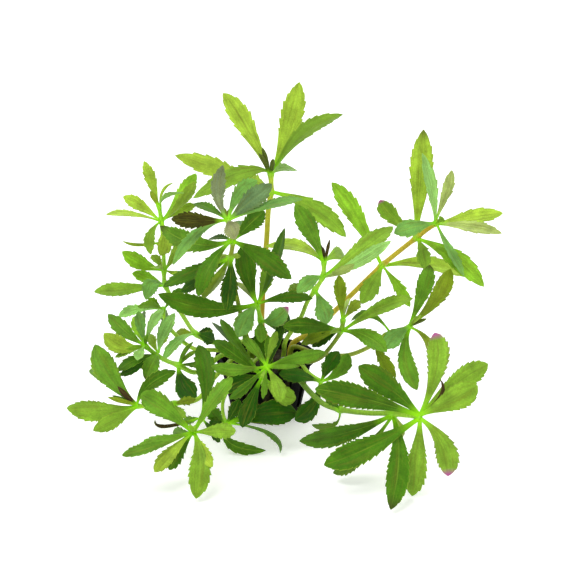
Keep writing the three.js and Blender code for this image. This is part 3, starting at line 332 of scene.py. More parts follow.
# %% Midribs
LEAF_WIDTH = 11
LENGTH_TO_WIDTH = 0.26
LEAF_ARCH = 0.06
SLIM_WIDTH = 3.2
FLATTEST_TURN = 0.3
WIDEST_AT = 0.6
TOOTHED_FROM, TOOTHED_TO = 0.4, 0.97
STALK_ROWS, BUD_ROWS = 13, 10
LAST_ROWS = (TOOTHED_TO, 0.985, 1.0)
FEWEST_TEETH = 3
TOOTH_ROWS = (0, 0.24, 0.47, 0.5, 0.74, 0.97)
TOOTH_UNLIKE = 0.3
POINTED_OUTLINE = [
    (0, 0.17), (0.1, 0.2), (0.2, 0.32), (0.3, 0.5), (0.4, 0.69), (0.5, 0.87), (0.6, 0.98), (0.66, 1),
    (0.75, 0.95), (0.84, 0.77), (0.92, 0.48), (0.97, 0.24), (1, 0.02),
]
BLUNT_OUTLINE = [
    (0, 0.17), (0.1, 0.2), (0.2, 0.3), (0.3, 0.46), (0.4, 0.64), (0.5, 0.81), (0.62, 0.96), (0.72, 1),
    (0.82, 0.9), (0.9, 0.66), (0.95, 0.42), (0.98, 0.22), (1, 0.04),
]
BUD_OUTLINE = [(0, 0.5), (0.3, 0.85), (0.6, 1), (0.85, 0.6), (1, 0)]


def between(table, share):
    """Read a table of (share, value) pairs with straight lines between them."""
    for (low, first), (high, last) in zip(table, table[1:]):
        if share <= high:
            return first + (last - first) * (share - low) / (high - low)
    return table[-1][1]


def bezier(start, control, end, share):
    point = start.lerp(control, share).lerp(control.lerp(end, share), share)
    along = (control.lerp(end, share) - start.lerp(control, share)).normalized()
    return point, along


def midrib(whorl_row, row, shift, stem_run, start_radius):
    """Base, control point and tip of the curve that the midrib follows."""
    base = place(*whorl_row["at"])
    axis = Vector(whorl_row["axis"]).normalized()
    across, up, back, _width, *bend = row
    tip = place(across, up, back + shift)
    away = place(*(bend[0] if bend else row[:3])) - base
    away = (away - stem_run * away.dot(stem_run)).normalized()
    base = base + away * start_radius
    if bend:
        middle = place(bend[0][0], bend[0][1], bend[0][2] + shift / 2)
    else:
        middle = base.lerp(tip, 0.5) + axis * LEAF_ARCH * (tip - base).length
    control = middle * 2 - base * 0.5 - tip * 0.5
    return base, control, tip


def blade_across(curve, axis, seen):
    """The blade turns about its midrib until its width, seen from the front, is the width in its row."""
    base, _control, tip = curve
    run = tip - base
    length = run.length
    run.normalize()
    centre = bezier(*curve, WIDEST_AT)[0]
    to_eye = EYE - centre
    seen_width = seen * to_eye.length / EYE_DISTANCE
    to_eye.normalize()
    flat = to_eye.cross(run).normalized()
    edge = run.cross(flat).normalized()
    width = seen_width
    if seen >= SLIM_WIDTH:
        width = max(seen_width, min(LEAF_WIDTH, LENGTH_TO_WIDTH * length))
    facing = max(FLATTEST_TURN, min(1, seen_width / width))
    natural = axis.cross(run)
    if natural.dot(flat) < 0:
        natural.negate()
    side = -1 if natural.dot(edge) < 0 else 1
    across = flat * facing + edge * side * math.sqrt(1 - facing * facing)
    if across.cross(run).dot(axis) < 0:
        across.negate()
    return across, width, length


def leaf_rows(length, slim, tooth_spacing, draw):
    """Places along the midrib as (share, beat, depth). The beat counts teeth, and no two are quite alike."""
    if slim:
        return [(i / BUD_ROWS, 0, 0) for i in range(BUD_ROWS + 1)]
    toothed = TOOTHED_TO - TOOTHED_FROM
    teeth = max(FEWEST_TEETH, round(length * toothed / tooth_spacing))
    gaps = [draw.uniform(1 - TOOTH_UNLIKE, 1 + TOOTH_UNLIKE) for _tooth in range(teeth)]
    rows = [(TOOTHED_FROM * i / STALK_ROWS, 0, 0) for i in range(STALK_ROWS)]
    start = TOOTHED_FROM
    for tooth, gap in enumerate(gaps):
        reach = toothed * gap / sum(gaps)
        depth = draw.uniform(1 - TOOTH_UNLIKE, 1 + TOOTH_UNLIKE)
        rows += [(start + reach * part, tooth + part, depth) for part in TOOTH_ROWS]
        start += reach
    return rows + [(share, teeth, 0) for share in LAST_ROWS]


# %% [markdown]
# ## The spine mesh
# The same helper makes a mesh of open chains for the leaves and, later, for the stems. Values that change
# along a chain are stored as named attributes, which the node trees then read by name.

# %% Chains with values on them
def chain_mesh(name, chains, numbers, vectors):
    """chains is a list of lists of dicts: each dict has 'at' and every named number and vector."""
    points = [row for chain in chains for row in chain]
    edges = []
    start = 0
    for chain in chains:
        edges += [(start + i, start + i + 1) for i in range(len(chain) - 1)]
        start += len(chain)
    mesh = bpy.data.meshes.new(name)
    mesh.from_pydata([row["at"] * MM for row in points], edges, [])
    for key in numbers:
        layer = mesh.attributes.new(key, "FLOAT", "POINT")
        layer.data.foreach_set("value", [row[key] for row in points])
    for key in vectors:
        layer = mesh.attributes.new(key, "FLOAT_VECTOR", "POINT")
        layer.data.foreach_set("vector", [number for row in points for number in row[key]])
    return new_object(name, mesh)


# %% One leaf as a chain
MOST_TWIST = math.radians(14)
PETIOLE_THICKNESS, BLADE_THICKNESS = 1.3, 0.4
PETIOLE_THINNING = 1.5
TIP_THICKNESS_SHARE, BUD_THICKNESS_SHARE = 0.2, 0.5
FULL_TEETH = 1.2
PAST_THE_STEP = 0.001
LEAF_NUMBERS = ("share", "half", "thick", "phase", "toothed", "flush", "leaf")
LEAF_VECTORS = ("across", "upward", "spine", "green")


def blade_thickness(width, petiole, slim):
    """A blade is thickest in its petiole, and a bud's leaf is a set share of its own width."""
    if slim:
        return width * BUD_THICKNESS_SHARE
    return BLADE_THICKNESS + (PETIOLE_THICKNESS - BLADE_THICKNESS) * petiole ** PETIOLE_THINNING


def leaf_chain(curve, axis, seen_width, habit, look, draw):
    """One leaf's midrib. Its habit is tooth spacing, tooth depth and outline, and its look is its colours."""
    tooth_spacing, tooth_depth, outline = habit
    across, width, length = blade_across(curve, axis, seen_width)
    slim = seen_width < SLIM_WIDTH
    twist = draw.uniform(-MOST_TWIST, MOST_TWIST)
    chain = []
    for share, beat, depth in leaf_rows(length, slim, tooth_spacing, draw):
        point, along = bezier(*curve, share)
        turned = Matrix.Rotation(twist * share, 3, along) @ across
        turned = (turned - along * along.dot(turned)).normalized()
        swell = between(BUD_OUTLINE if slim else outline, share)
        petiole = max(0, 1 - share / TOOTHED_FROM)
        thickness = blade_thickness(width, petiole, slim)
        chain.append({
            "at": point, "spine": point * MM, "across": turned, "upward": turned.cross(along), "share": share,
            "half": width / 2 * swell * MM,
            "thick": thickness * MM * (1 if share < 1 else TIP_THICKNESS_SHARE),
            "phase": beat + PAST_THE_STEP,
            "toothed": tooth_depth * depth * min(1, FULL_TEETH * swell), **look,
        })
    return chain


# %% [markdown]
# ## One small helper for every node tree
# Adding a node by hand takes four or five lines. One function here adds a node, sets its options, fills or
# links its inputs and places a ramp's colours, and all the trees below are written with it.

# %% Node helper
def colour(code):
    """An sRGB hex code as the linear colour that a node wants."""
    parts = [int(code[i:i + 2], 16) / 255 for i in (1, 3, 5)]
    linear = [part / 12.92 if part <= 0.04045 else ((part + 0.055) / 1.055) ** 2.4 for part in parts]
    return (*linear, 1.0)


def fill(tree, node, inputs):
    """Fill a node's inputs. A node or socket is linked, a hex code becomes its colour, the rest is set."""
    for key, value in inputs.items() if isinstance(inputs, dict) else enumerate(inputs):
        if isinstance(value, bpy.types.Node):
            value = next(socket for socket in value.outputs if socket.enabled)
        if isinstance(value, bpy.types.NodeSocket):
            tree.links.new(value, node.inputs[key])
        elif isinstance(value, str) and value.startswith("#"):
            node.inputs[key].default_value = colour(value)
        else:
            node.inputs[key].default_value = value


def add(tree, kind, inputs=(), stops=(), **settings):
    """Add a node. Its kind is its type's name without the first word, and the stops are a ramp's colours."""
    full = (first + kind for first in ("ShaderNode", "GeometryNode", "FunctionNode"))
    node = tree.nodes.new(next(name for name in full if hasattr(bpy.types, name)))
    for name, value in settings.items():
        setattr(node, name, value)
    fill(tree, node, inputs)
    for position, code in stops[1:-1]:
        node.color_ramp.elements.new(position)
    for number, (position, code) in enumerate(stops):
        node.color_ramp.elements[number].position = position
        node.color_ramp.elements[number].color = colour(code)
    return node


def new_material(name, roughness, specular):
    """A material with a Principled shader, and the three things that the cells below need of it."""
    material = bpy.data.materials.new(name)
    material.use_nodes = True
    shader = next(node for node in material.node_tree.nodes if node.type == "BSDF_PRINCIPLED")
    fill(material.node_tree, shader, {"Roughness": roughness, "Specular IOR Level": specular})
    return material, material.node_tree, shader


def per(width):
    """The scale of a noise whose patches are that many millimetres wide, to the nearest whole number."""
    return round(1 / (width * MM))


# Most of a noise's values lie between these two.
NOISE_SPAN = (0.3, 0.7)

# %% [markdown]
# ## Leaf skin
# A living leaf is a thin sheet of cells under a thin wax. The upper face is green with a paler midrib and
# fainter side veins that run forwards to the teeth, the under face is paler, and the youngest leaves and
# some tips are flushed with purple. All of that is drawn from the values the blade carries, so it follows
# each leaf.

# %% Leaf material
VEIN_SPACING_SHARE = 0.085
VEIN_SLANT = 0.11
STREAKS_ACROSS, STREAK_SCALE, STAIN_SCALE = 2.5, 1.6, 2.3
# Widths in millimetres: soft blotches, a grain that is drawn coarser than real cells so that it shows, and
# the slow drift between pale and plum lines.
BLOTCH_WIDTH, GRAIN_WIDTH, DRIFT_WIDTH = 7.14, 0.6667, 22.2
# Millimetres again: the height of the relief, and how far light travels inside the leaf.
RELIEF, SKIN_DEPTH = 0.3, 1.2
RIB_RELIEF = 0.8
LIME_HEART, TINGE, UNDER_FACE = "#9cea14", "#6b6a1c", "#7c9c3a"
PALE_LINE, PLUM_LINE = "#a3c23c", "#4a3a1c"
FLUSH, DARK_TIP = "#a8568a", "#3d3a16"
DARKENING = -0.7
# Each mark goes from its third number to its fourth while its measure goes from its first to its second.
VEIN, RIB, MARGIN = (0.0, 0.016, 0.07, 0.0), (0.02, 0.08, 0.25, 0.0), (0.91, 1.0, 0.0, 0.6)
BELOW, HEART, STAIN = (-0.3, 0.3, 0.35, 0.0), (0.02, 0.22, 0.85, 0.0), (0.5, 0.7, 0.0, 0.4)
TIP, EDGE = (0.88, 0.97, 0.0, 1.0), (0.85, 1.0, 0.0, 0.2)


def leaf_material():
    # Green leaf grown in the air: thin matt wax over wet cells gives a weak, wide shine and a deep colour.
    material, tree, shader = new_material("living leaf", 0.5, 0.1)
    side, share, flush, face, leaf = (add(tree, "Attribute", attribute_name=key).outputs["Fac"]
                                      for key in ("side", "share", "flush", "face", "leaf"))
    # The green carries each leaf's painted light and shade from its letter, as well as its own colour.
    green = add(tree, "Attribute", attribute_name="green").outputs["Color"]
    spot = add(tree, "TexCoord").outputs["Object"]
    blotch = add(tree, "TexNoise", {"Vector": spot, "Scale": per(BLOTCH_WIDTH), "Detail": 4})
    grain = add(tree, "TexNoise", {"Vector": spot, "Scale": per(GRAIN_WIDTH), "Detail": 3})
    wide = add(tree, "Math", (side, STREAKS_ACROSS), operation="MULTIPLY")
    along = add(tree, "CombineXYZ", (wide, share, leaf))
    streak = add(tree, "TexNoise", {"Vector": along, "Scale": STREAK_SCALE, "Detail": 3})
    shade = 1.0
    for pattern, least, most in ((blotch, 0.72, 1.22), (grain, 0.86, 1.14), (streak, 0.84, 1.16)):
        pattern = add(tree, "MapRange", (pattern, *NOISE_SPAN, least, most))
        shade = add(tree, "Math", (shade, pattern), operation="MULTIPLY")
    blade = add(tree, "VectorMath", {0: green, "Scale": shade}, operation="SCALE")

    # The midrib and the margin are thin lines, pale on some leaves, plum on others. Side veins run forwards.
    out = add(tree, "Math", (side,), operation="ABSOLUTE")
    slanted = add(tree, "Math", (out, -VEIN_SLANT, share), operation="MULTIPLY_ADD")
    beat = add(tree, "Math", (slanted, VEIN_SPACING_SHARE), operation="PINGPONG")
    marks = (
        (beat, VEIN), (out, RIB), (out, MARGIN), (face, BELOW), (share, HEART), (share, TIP), (out, EDGE))
    vein, rib, margin, below, heart, tip, edge = (
        add(tree, "MapRange", (measure, *mark)) for measure, mark in marks)
    lines = add(tree, "Math", (rib, vein), operation="MAXIMUM")
    drawn = add(tree, "Math", (lines, margin), operation="MAXIMUM")
    drift = add(tree, "TexNoise", {"Vector": spot, "Scale": per(DRIFT_WIDTH), "Detail": 2})
    ink = add(tree, "ValToRGB", (drift,), [(0.42, PALE_LINE), (0.56, PLUM_LINE)])
    stain = add(tree, "TexNoise", {"Vector": along, "Scale": STAIN_SCALE, "Detail": 2})
    stain = add(tree, "MapRange", (stain, *STAIN))

    # A pink or a dark tip starts at the point of the leaf and follows its margin back.
    reach = add(tree, "Math", (tip, edge), operation="MAXIMUM")
    pink = add(tree, "Math", (reach, flush), operation="MULTIPLY", use_clamp=True)
    dark = add(tree, "Math", (tip, flush), operation="MULTIPLY")
    dark = add(tree, "Math", (dark, DARKENING), operation="MULTIPLY", use_clamp=True)
    tints = [(stain, TINGE), (drawn, ink), (below, UNDER_FACE)]
    for amount, tint in tints + [(heart, LIME_HEART), (pink, FLUSH), (dark, DARK_TIP)]:
        blade = add(tree, "Mix", {0: amount, 6: blade, 7: tint}, data_type="RGBA")
    relief = add(tree, "Math", (lines, RIB_RELIEF, grain), operation="MULTIPLY_ADD")
    bump = add(tree, "Bump", {"Height": relief, "Strength": 0.3, "Distance": RELIEF * MM})
    fill(tree, shader, {"Base Color": blade, "Normal": bump, "Subsurface Weight": 0.1,
                        "Subsurface Radius": (0.6, 1.0, 0.25), "Subsurface Scale": SKIN_DEPTH * MM})
    return material


LEAF_SKIN = leaf_material()
print("leaf material:", LEAF_SKIN.name)

# %% [markdown]
# ## The blade tree
# The tree sweeps a closed ring along every midrib and then moves its points: sideways to the margin, up
# and down to the two faces. The teeth are a saw that pushes the margin out a little at a time and lets it
# fall back at once, so that they point forwards, and the left side's teeth stand halfway between the
# right side's. A ring that closes makes a closed blade, with an upper and an under face, which a single
# sheet would not have.

# %% Blade tree
TOOTH_DEPTH, TOOTH_MIDDLE = 1.0, 0.45
MARGIN_LIFT = 0.18
# The ruffle is in millimetres, and one of its waves is about 9 mm long.
RUFFLE, RUFFLE_GAIN, RUFFLE_SCALE = 0.3, 3.0, 110
SECTION_SIDES = 24


def new_tree(name, sizes):
    """A geometry tree with a mesh in, a mesh out, named sizes and a material."""
    tree = bpy.data.node_groups.new(name, "GeometryNodeTree")
    tree.interface.new_socket("Geometry", in_out="INPUT", socket_type="NodeSocketGeometry")
    for label, value in sizes.items():
        kind = "NodeSocketInt" if isinstance(value, int) else "NodeSocketFloat"
        tree.interface.new_socket(label, in_out="INPUT", socket_type=kind).default_value = value
    tree.interface.new_socket("Material", in_out="INPUT", socket_type="NodeSocketMaterial")
    tree.interface.new_socket("Geometry", in_out="OUTPUT", socket_type="NodeSocketGeometry")
    return tree, tree.nodes.new("NodeGroupInput").outputs, tree.nodes.new("NodeGroupOutput")


def finish_tree(tree, given, outputs, geometry):
    real = add(tree, "RealizeInstances", (geometry,))
    painted = add(tree, "SetMaterial", {"Geometry": real, "Material": given["Material"]})
    tree.links.new(painted.outputs[0], outputs.inputs[0])


def blade_tree():
    tree, given, outputs = new_tree("leaf blades", {
        "Section Sides": SECTION_SIDES, "Tooth Depth": TOOTH_DEPTH * MM,
        "Margin Lift": MARGIN_LIFT, "Ruffle": RUFFLE * MM})
    ring = add(tree, "CurvePrimitiveCircle", {"Resolution": given["Section Sides"], "Radius": 0.1 * MM})
    around = add(tree, "SplineParameter").outputs["Factor"]
    ring = add(tree, "StoreNamedAttribute", {"Geometry": ring, "Name": "around", "Value": around})
    spines = add(tree, "MeshToCurve", {"Mesh": given["Geometry"]})
    blades = add(tree, "CurveToMesh", {"Curve": spines, "Profile Curve": ring, "Fill Caps": True})
    around, half, thick, phase, toothed = (add(tree, "InputNamedAttribute", {"Name": key})
                                           for key in ("around", "half", "thick", "phase", "toothed"))
    across, upward, spine = (add(tree, "InputNamedAttribute", {"Name": key}, data_type="FLOAT_VECTOR")
                             for key in ("across", "upward", "spine"))
    turn = add(tree, "Math", (around, 2 * math.pi), operation="MULTIPLY")
    side = add(tree, "Math", (turn,), operation="COSINE")
    face = add(tree, "Math", (turn,), operation="SINE")

    # The saw pushes the margin out, half a tooth later on the left side.
    left = add(tree, "Math", (side, 0.0), operation="LESS_THAN")
    beat = add(tree, "Math", (left, 0.5, phase), operation="MULTIPLY_ADD")
    sideways = add(tree, "Math", (beat,), operation="FRACT")
    saw = [("SUBTRACT", TOOTH_MIDDLE), ("MULTIPLY", toothed), ("MULTIPLY", given["Tooth Depth"])]
    for step, other in saw + [("ADD", half), ("MAXIMUM", 0.0), ("MULTIPLY", side)]:
        sideways = add(tree, "Math", (sideways, other), operation=step)
    move = add(tree, "VectorMath", {0: across, "Scale": sideways}, operation="SCALE")

    # The margin stands a little above the midrib and is softly ruffled where the blade is wide.
    out = add(tree, "Math", (sideways,), operation="ABSOLUTE")
    rise = add(tree, "Math", (out, given["Margin Lift"]), operation="MULTIPLY")
    body = add(tree, "Math", (thick, face), operation="MULTIPLY")
    rise = add(tree, "Math", (body, 0.5, rise), operation="MULTIPLY_ADD")
    wave = add(tree, "TexNoise", {"Scale": RUFFLE_SCALE, "Detail": 1.0})
    reach = add(tree, "Math", (half, LEAF_WIDTH / 2 * MM), operation="DIVIDE")
    for step, other in (("SUBTRACT", 0.5), ("MULTIPLY", reach), ("MULTIPLY", given["Ruffle"])):
        wave = add(tree, "Math", (wave, other), operation=step)
    rise = add(tree, "Math", (wave, RUFFLE_GAIN, rise), operation="MULTIPLY_ADD")
    lift = add(tree, "VectorMath", {0: upward, "Scale": rise}, operation="SCALE")
    offset = add(tree, "VectorMath", (move, lift), operation="ADD")
    target = add(tree, "VectorMath", (spine, offset), operation="ADD")
    for key, value in (("side", side), ("face", face)):
        blades = add(tree, "StoreNamedAttribute", {"Geometry": blades, "Name": key, "Value": value})
    shaped = add(tree, "SetPosition", {"Geometry": blades, "Position": target})
    smooth = add(tree, "SetShadeSmooth", (shaped,))
    finish_tree(tree, given, outputs, smooth)
    return tree


BLADES = blade_tree()
print("blade tree nodes", len(BLADES.nodes))

# %% [markdown]
# ## From tree to plain mesh
# A modifier is asked for its result once, the result becomes an ordinary mesh, and the modifier and the
# helper object go away. What is left can be exported anywhere.

# %% Bake a tree into a mesh
def finished(holder, name, node):
    """Turn what the holder's modifiers make into a plain object that stands for the solid."""
    evaluated = holder.evaluated_get(bpy.context.evaluated_depsgraph_get())
    mesh = bpy.data.meshes.new_from_object(evaluated)
    mesh.name = name
    piece = new_object(name, mesh)
    old = holder.data
    bpy.data.objects.remove(holder)
    bpy.data.meshes.remove(old)
    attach(piece, "root")
    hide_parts(node)
    return piece


def grown(holder, tree, name, material, node):
    """Run the tree on the holder, with the material that it paints on."""
    modifier = holder.modifiers.new("tree", "NODES")
    modifier.node_group = tree
    sockets = {item.name: item.identifier for item in tree.interface.items_tree if item.in_out == "INPUT"}
    modifier[sockets["Material"]] = material
    return finished(holder, name, node)


def face_outwards(piece):
    """Turn a closed mesh outwards. Its faces share one winding, so its volume says which way it is."""
    work = bmesh.new()
    work.from_mesh(piece.data)
    if work.calc_volume(signed=True) < 0:
        bmesh.ops.reverse_faces(work, faces=work.faces)
    work.to_mesh(piece.data)
    work.free()


# %% [markdown]
# ## The green of each leaf, and its painted light and shade
# No two leaves have the same green, and part of each green is painted light or shade: the ones high at the
# back are painted yellow for the light that comes through them, the ones over the pot are painted deep green
# for the shade that lies on them, and those that face the light carry a painted bluish sheen. Each leaf gets
# a letter, in the order of its row in the table, and a capital letter also flushes its tip with pink. A few
# tips have gone dark instead, and those are named as shoot, whorl and leaf.

# %% Greens
# These greens hold painted light and shade as well as the leaves' own colour: leaves in the shade over the
# pot get the dark letters d and k, leaves with light coming through them get the yellow y, and leaves that
# face the light get the bluish m and b as a painted sheen.
GREENS_AND_PAINTED_LIGHT = {
    "y": "#9dbc38", "l": "#8cc02c", "g": "#7ba32c", "o": "#80971e", "m": "#94c866", "b": "#6da046",
    "h": "#609020", "d": "#42700c", "k": "#265602", "v": "#727f5a", "w": "#627f50", "q": "#848a5c",
    "p": "#3a3a08", "n": "#3a2a14", "r": "#a2b460",
}
DARK_TIPS = {
    ("right", 2, 1), ("far_right", 1, 1), ("front_right", 2, 2), ("plum", 2, 5), ("outer_left", 2, 1),
}
# How far apart the teeth stand and how deep they are cut, in millimetres, and the leaf's outline.
USUAL_HABIT = (3.2, 0.6, POINTED_OUTLINE)
HABITS = {
    "crown": (4.6, 0.95, POINTED_OUTLINE), "right": (4.8, 0.9, POINTED_OUTLINE),
    "plum": (2.4, 0.85, POINTED_OUTLINE), "grey": (3.4, 0.7, POINTED_OUTLINE),
    "front_right": (2.8, 0.75, BLUNT_OUTLINE), "front_left": (3, 0.8, BLUNT_OUTLINE),
    "low_left": (2.8, 0.7, POINTED_OUTLINE), "far_right": (3.6, 0.65, BLUNT_OUTLINE),
    "short": (3.4, 0.6, BLUNT_OUTLINE),
}
print("greens", len(GREENS_AND_PAINTED_LIGHT))

# %% Grow the leaves
SEED = 7
NODE_SHARE = 0.3
LIGHTNESS = (0.9, 1.1)
STREAK_PLACES = 40


def stem_points(shoot):
    return [place(*row) for row in shoot["route"]]


def run_near(points, spot):
    """Direction of the stem where it passes a whorl."""
    nearest = min(range(len(points)), key=lambda i: (points[i] - spot).length)
    return (points[min(nearest + 1, len(points) - 1)] - points[max(nearest - 1, 0)]).normalized()


def green_of(letter, draw):
    """The leaf's green, with the painted light or shade of its letter, in linear light, a little lighter or
    darker than its letter says.
    """
    lightness = draw.uniform(*LIGHTNESS)
    return tuple(part * lightness for part in colour(GREENS_AND_PAINTED_LIGHT[letter.lower()])[:3])


def whorl_chains(shoot, number, node, draw):
    """The midribs of one ring of leaves, with the colours that their letters say."""
    whorl = shoot["whorls"][number - 1]
    habit = HABITS.get(shoot["name"], USUAL_HABIT)
    run = run_near(stem_points(shoot), place(*whorl["at"]))
    axis = Vector(whorl["axis"]).normalized()
    chains = []
    for leaf, (row, shift, letter) in enumerate(zip(whorl["leaves"], shifts[node], whorl["letters"]), 1):
        darkened = (shoot["name"], number, leaf) in DARK_TIPS
        flush = 1 if letter.isupper() else -1 if darkened else 0
        look = {"green": green_of(letter, draw), "flush": flush, "leaf": draw.uniform(0, STREAK_PLACES)}
        curve = midrib(whorl, row, shift, run, shoot["diameter"] * NODE_SHARE)
        chains.append(leaf_chain(curve, axis, row[3], habit, look, draw))
    return chains


leaf_pieces = []
for shoot in SHOOTS:
    draw = random.Random(f"{SEED} {shoot['name']}")
    for number, whorl in enumerate(shoot["whorls"], 1):
        node = f"whorl_{shoot['name']}_{number}"
        chains = whorl_chains(shoot, number, node, draw)
        holder = chain_mesh(node + "_midribs", chains, LEAF_NUMBERS, LEAF_VECTORS)
        piece = grown(holder, BLADES, node + "_leaves", LEAF_SKIN, node)
        face_outwards(piece)
        leaf_pieces.append(piece)
leaf_triangles = sum(len(face.vertices) - 2 for piece in leaf_pieces for face in piece.data.polygons)
print("leaf meshes", len(leaf_pieces), "triangles", leaf_triangles)

# %% [markdown]
# ## Stems
# A stem is a round, juicy rod that is a little thicker at each node. It is swept along a smooth curve
# through the places in the table. The same centripetal curve drew the solid, so the two lie together.

# %% Stem curve
WOOL_TOP = 26
STEM_RISE = 8
STEM_LEAN = 0.12
POINT_STEP = 1.5
NODE_SWELLING, NODE_REACH = 0.55, 1.9
FOOT_GIRTH, TAPER = 1.08, 0.2
USUAL_TINTS = ("#a3c33c", "#a9dc3c")
STEM_TINTS = {
    "crown": ("#c9a428", "#b4cf3a"), "plum": ("#7f9a2a", "#8f9a1e"), "right": ("#c9b838", "#b5a024"),
    "grey": ("#a5c544", "#a2d836"), "far_right": ("#8f9a2a", "#b4cf5a"), "low_right": ("#6f7a22", "#8fae34"),
    "front_right": ("#4a6a1c", "#a9dc3c"), "tall_left": ("#a6cc48", "#9be02a"),
    "heart": ("#8fc03a", "#a4e23a"), "outer_left": ("#a2cf3a", "#7fb828"),
}


def centripetal(points, step):
    """Points of a centripetal Catmull-Rom curve through the given ones."""
    ends = [points[0] * 2 - points[1], *points, points[-1] * 2 - points[-2]]
    result = []
    for a, b, c, d in zip(ends, ends[1:], ends[2:], ends[3:]):
        ab, bc, cd = ((q - p).length ** 0.5 for p, q in ((a, b), (b, c), (c, d)))
        start = ((b - a) / ab - (c - a) / (ab + bc) + (c - b) / bc) * bc
        end = ((c - b) / bc - (d - b) / (bc + cd) + (d - c) / cd) * bc
        count = max(2, round((c - b).length / step))
        for i in range(count):
            t = i / count
            result.append(b * (2 * t**3 - 3 * t**2 + 1) + start * (t**3 - 2 * t**2 + t)
                          + c * (3 * t**2 - 2 * t**3) + end * (t**3 - t**2))
    result.append(points[-1])
    return result


def stem_chain(shoot):
    root = Vector((*shoot["root"], WOOL_TOP - 1))
    rise = root + Vector((shoot["root"][0] * STEM_LEAN, shoot["root"][1] * STEM_LEAN, STEM_RISE))
    line = centripetal([root, rise, *stem_points(shoot)], POINT_STEP)
    nodes = [place(*whorl["at"]) for whorl in shoot["whorls"]]
    ends = [colour(code)[:3] for code in STEM_TINTS.get(shoot["name"], USUAL_TINTS)]
    chain = []
    for i, point in enumerate(line):
        near = min((point - spot).length for spot in nodes)
        swelling = math.exp(-(near / NODE_REACH) ** 2)
        share = i / (len(line) - 1)
        radius = shoot["diameter"] / 2 * (FOOT_GIRTH - TAPER * share) * (1 + NODE_SWELLING * swelling)
        tint = tuple(low + (high - low) * share ** 2 for low, high in zip(*ends))
        chain.append({"at": point, "girth": radius * MM, "joint": swelling, "tint": tint})
    return chain


# %% [markdown]
# ## Stem tree
# The sweep itself is one node. The ring's radius comes from the value stored along the chain, and a
# little noise keeps the surface from being machine-round.

# %% Stem tree
# The unevenness is in millimetres, and one of its waves is about 2.4 mm long.
UNEVENNESS, UNEVENNESS_SCALE = 0.12, 420
STEM_SIDES = 14


def stem_tree():
    sizes = {"Section Sides": STEM_SIDES, "Unevenness": UNEVENNESS * MM}
    tree, given, outputs = new_tree("stem sweep", sizes)
    girth = add(tree, "InputNamedAttribute", {"Name": "girth"})
    line = add(tree, "MeshToCurve", {"Mesh": given["Geometry"]})
    ring = add(tree, "CurvePrimitiveCircle", {"Resolution": given["Section Sides"], "Radius": 1.0})
    rod = add(tree, "CurveToMesh", {
        "Curve": line, "Profile Curve": ring, "Scale": girth, "Fill Caps": True})
    wave = add(tree, "TexNoise", {"Scale": UNEVENNESS_SCALE, "Detail": 2.0})
    for step, other in (("SUBTRACT", 0.5), ("MULTIPLY", given["Unevenness"])):
        wave = add(tree, "Math", (wave, other), operation=step)
    offset = add(tree, "VectorMath", {0: add(tree, "InputNormal"), "Scale": wave}, operation="SCALE")
    uneven = add(tree, "SetPosition", {"Geometry": rod, "Offset": offset})
    smooth = add(tree, "SetShadeSmooth", (uneven,))
    finish_tree(tree, given, outputs, smooth)
    return tree


STEMS = stem_tree()
print("stem tree nodes", len(STEMS.nodes))

# %% [markdown]
# ## Stem skin
# The stems are lime green, three of them amber where they are old, and all are bright lime just at the nodes.

# %% Stem material
NODE_LIME = "#8fd81c"
# Streaks about a millimetre wide, their relief, and how far light travels inside the stem.
STEM_STREAK = 1.111
STEM_RELIEF, STEM_DEPTH = 0.3, 1.5


def stem_material():
    # Living stem: smooth and moist, so a tighter highlight than the leaves.
    material, tree, shader = new_material("living stem", 0.4, 0.25)
    tint = add(tree, "Attribute", attribute_name="tint").outputs["Color"]
    joint = add(tree, "Attribute", attribute_name="joint").outputs["Fac"]
    spot = add(tree, "TexCoord").outputs["Object"]
    stretch = add(tree, "Mapping", {"Vector": spot, "Scale": (1.0, 1.0, 0.25)})
    streak = add(tree, "TexNoise", {"Vector": stretch, "Scale": per(STEM_STREAK), "Detail": 4})
    shade = add(tree, "MapRange", (streak, *NOISE_SPAN, 0.8, 1.15))
    streaked = add(tree, "VectorMath", {0: tint, "Scale": shade}, operation="SCALE")
    at_node = add(tree, "MapRange", (joint, 0.2, 1.0, 0.0, 0.85))
    skin = add(tree, "Mix", {0: at_node, 6: streaked, 7: NODE_LIME}, data_type="RGBA")
    bump = add(tree, "Bump", {"Height": streak, "Strength": 0.3, "Distance": STEM_RELIEF * MM})
    fill(tree, shader, {"Base Color": skin, "Normal": bump, "Subsurface Weight": 0.2,
                        "Subsurface Radius": (1.0, 0.9, 0.3), "Subsurface Scale": STEM_DEPTH * MM})
    return material


LIVING_STEM = stem_material()
for shoot in SHOOTS:
    node = f"stem_{shoot['name']}"
    holder = chain_mesh(node + "_line", [stem_chain(shoot)], ("girth", "joint"), ("tint",))
    face_outwards(grown(holder, STEMS, node + "_rod", LIVING_STEM, node))
print("stems", len(SHOOTS))

# %% [markdown]
# ## The pot
# A net pot is moulded in one shot: a thin tapered wall with upright slots, a slotted foot and a flat rim.
# The wall is laid out as a grid of columns and rows with the slots left out, and Solidify gives it its
# thickness.

# %% Pot
POT_RIM, POT_TOP, POT_FOOT = 25, 23, 17
POT_HEIGHT, POT_WALL = 30, 1.2
UNDER_LIP = POT_HEIGHT - POT_WALL
POT_SLOTS, FOOT_SLOTS = 12, 4
COLUMNS = 6 * POT_SLOTS
SLOT_LOW, SLOT_HIGH = 6, 24
EDGE_ROUNDING = 0.25
POT_CLOUD, POT_GRAIN, POT_RELIEF = 7.7, 0.3846, 0.2


def pot_radius(height):
    return POT_FOOT + (POT_TOP - POT_FOOT) * height / UNDER_LIP


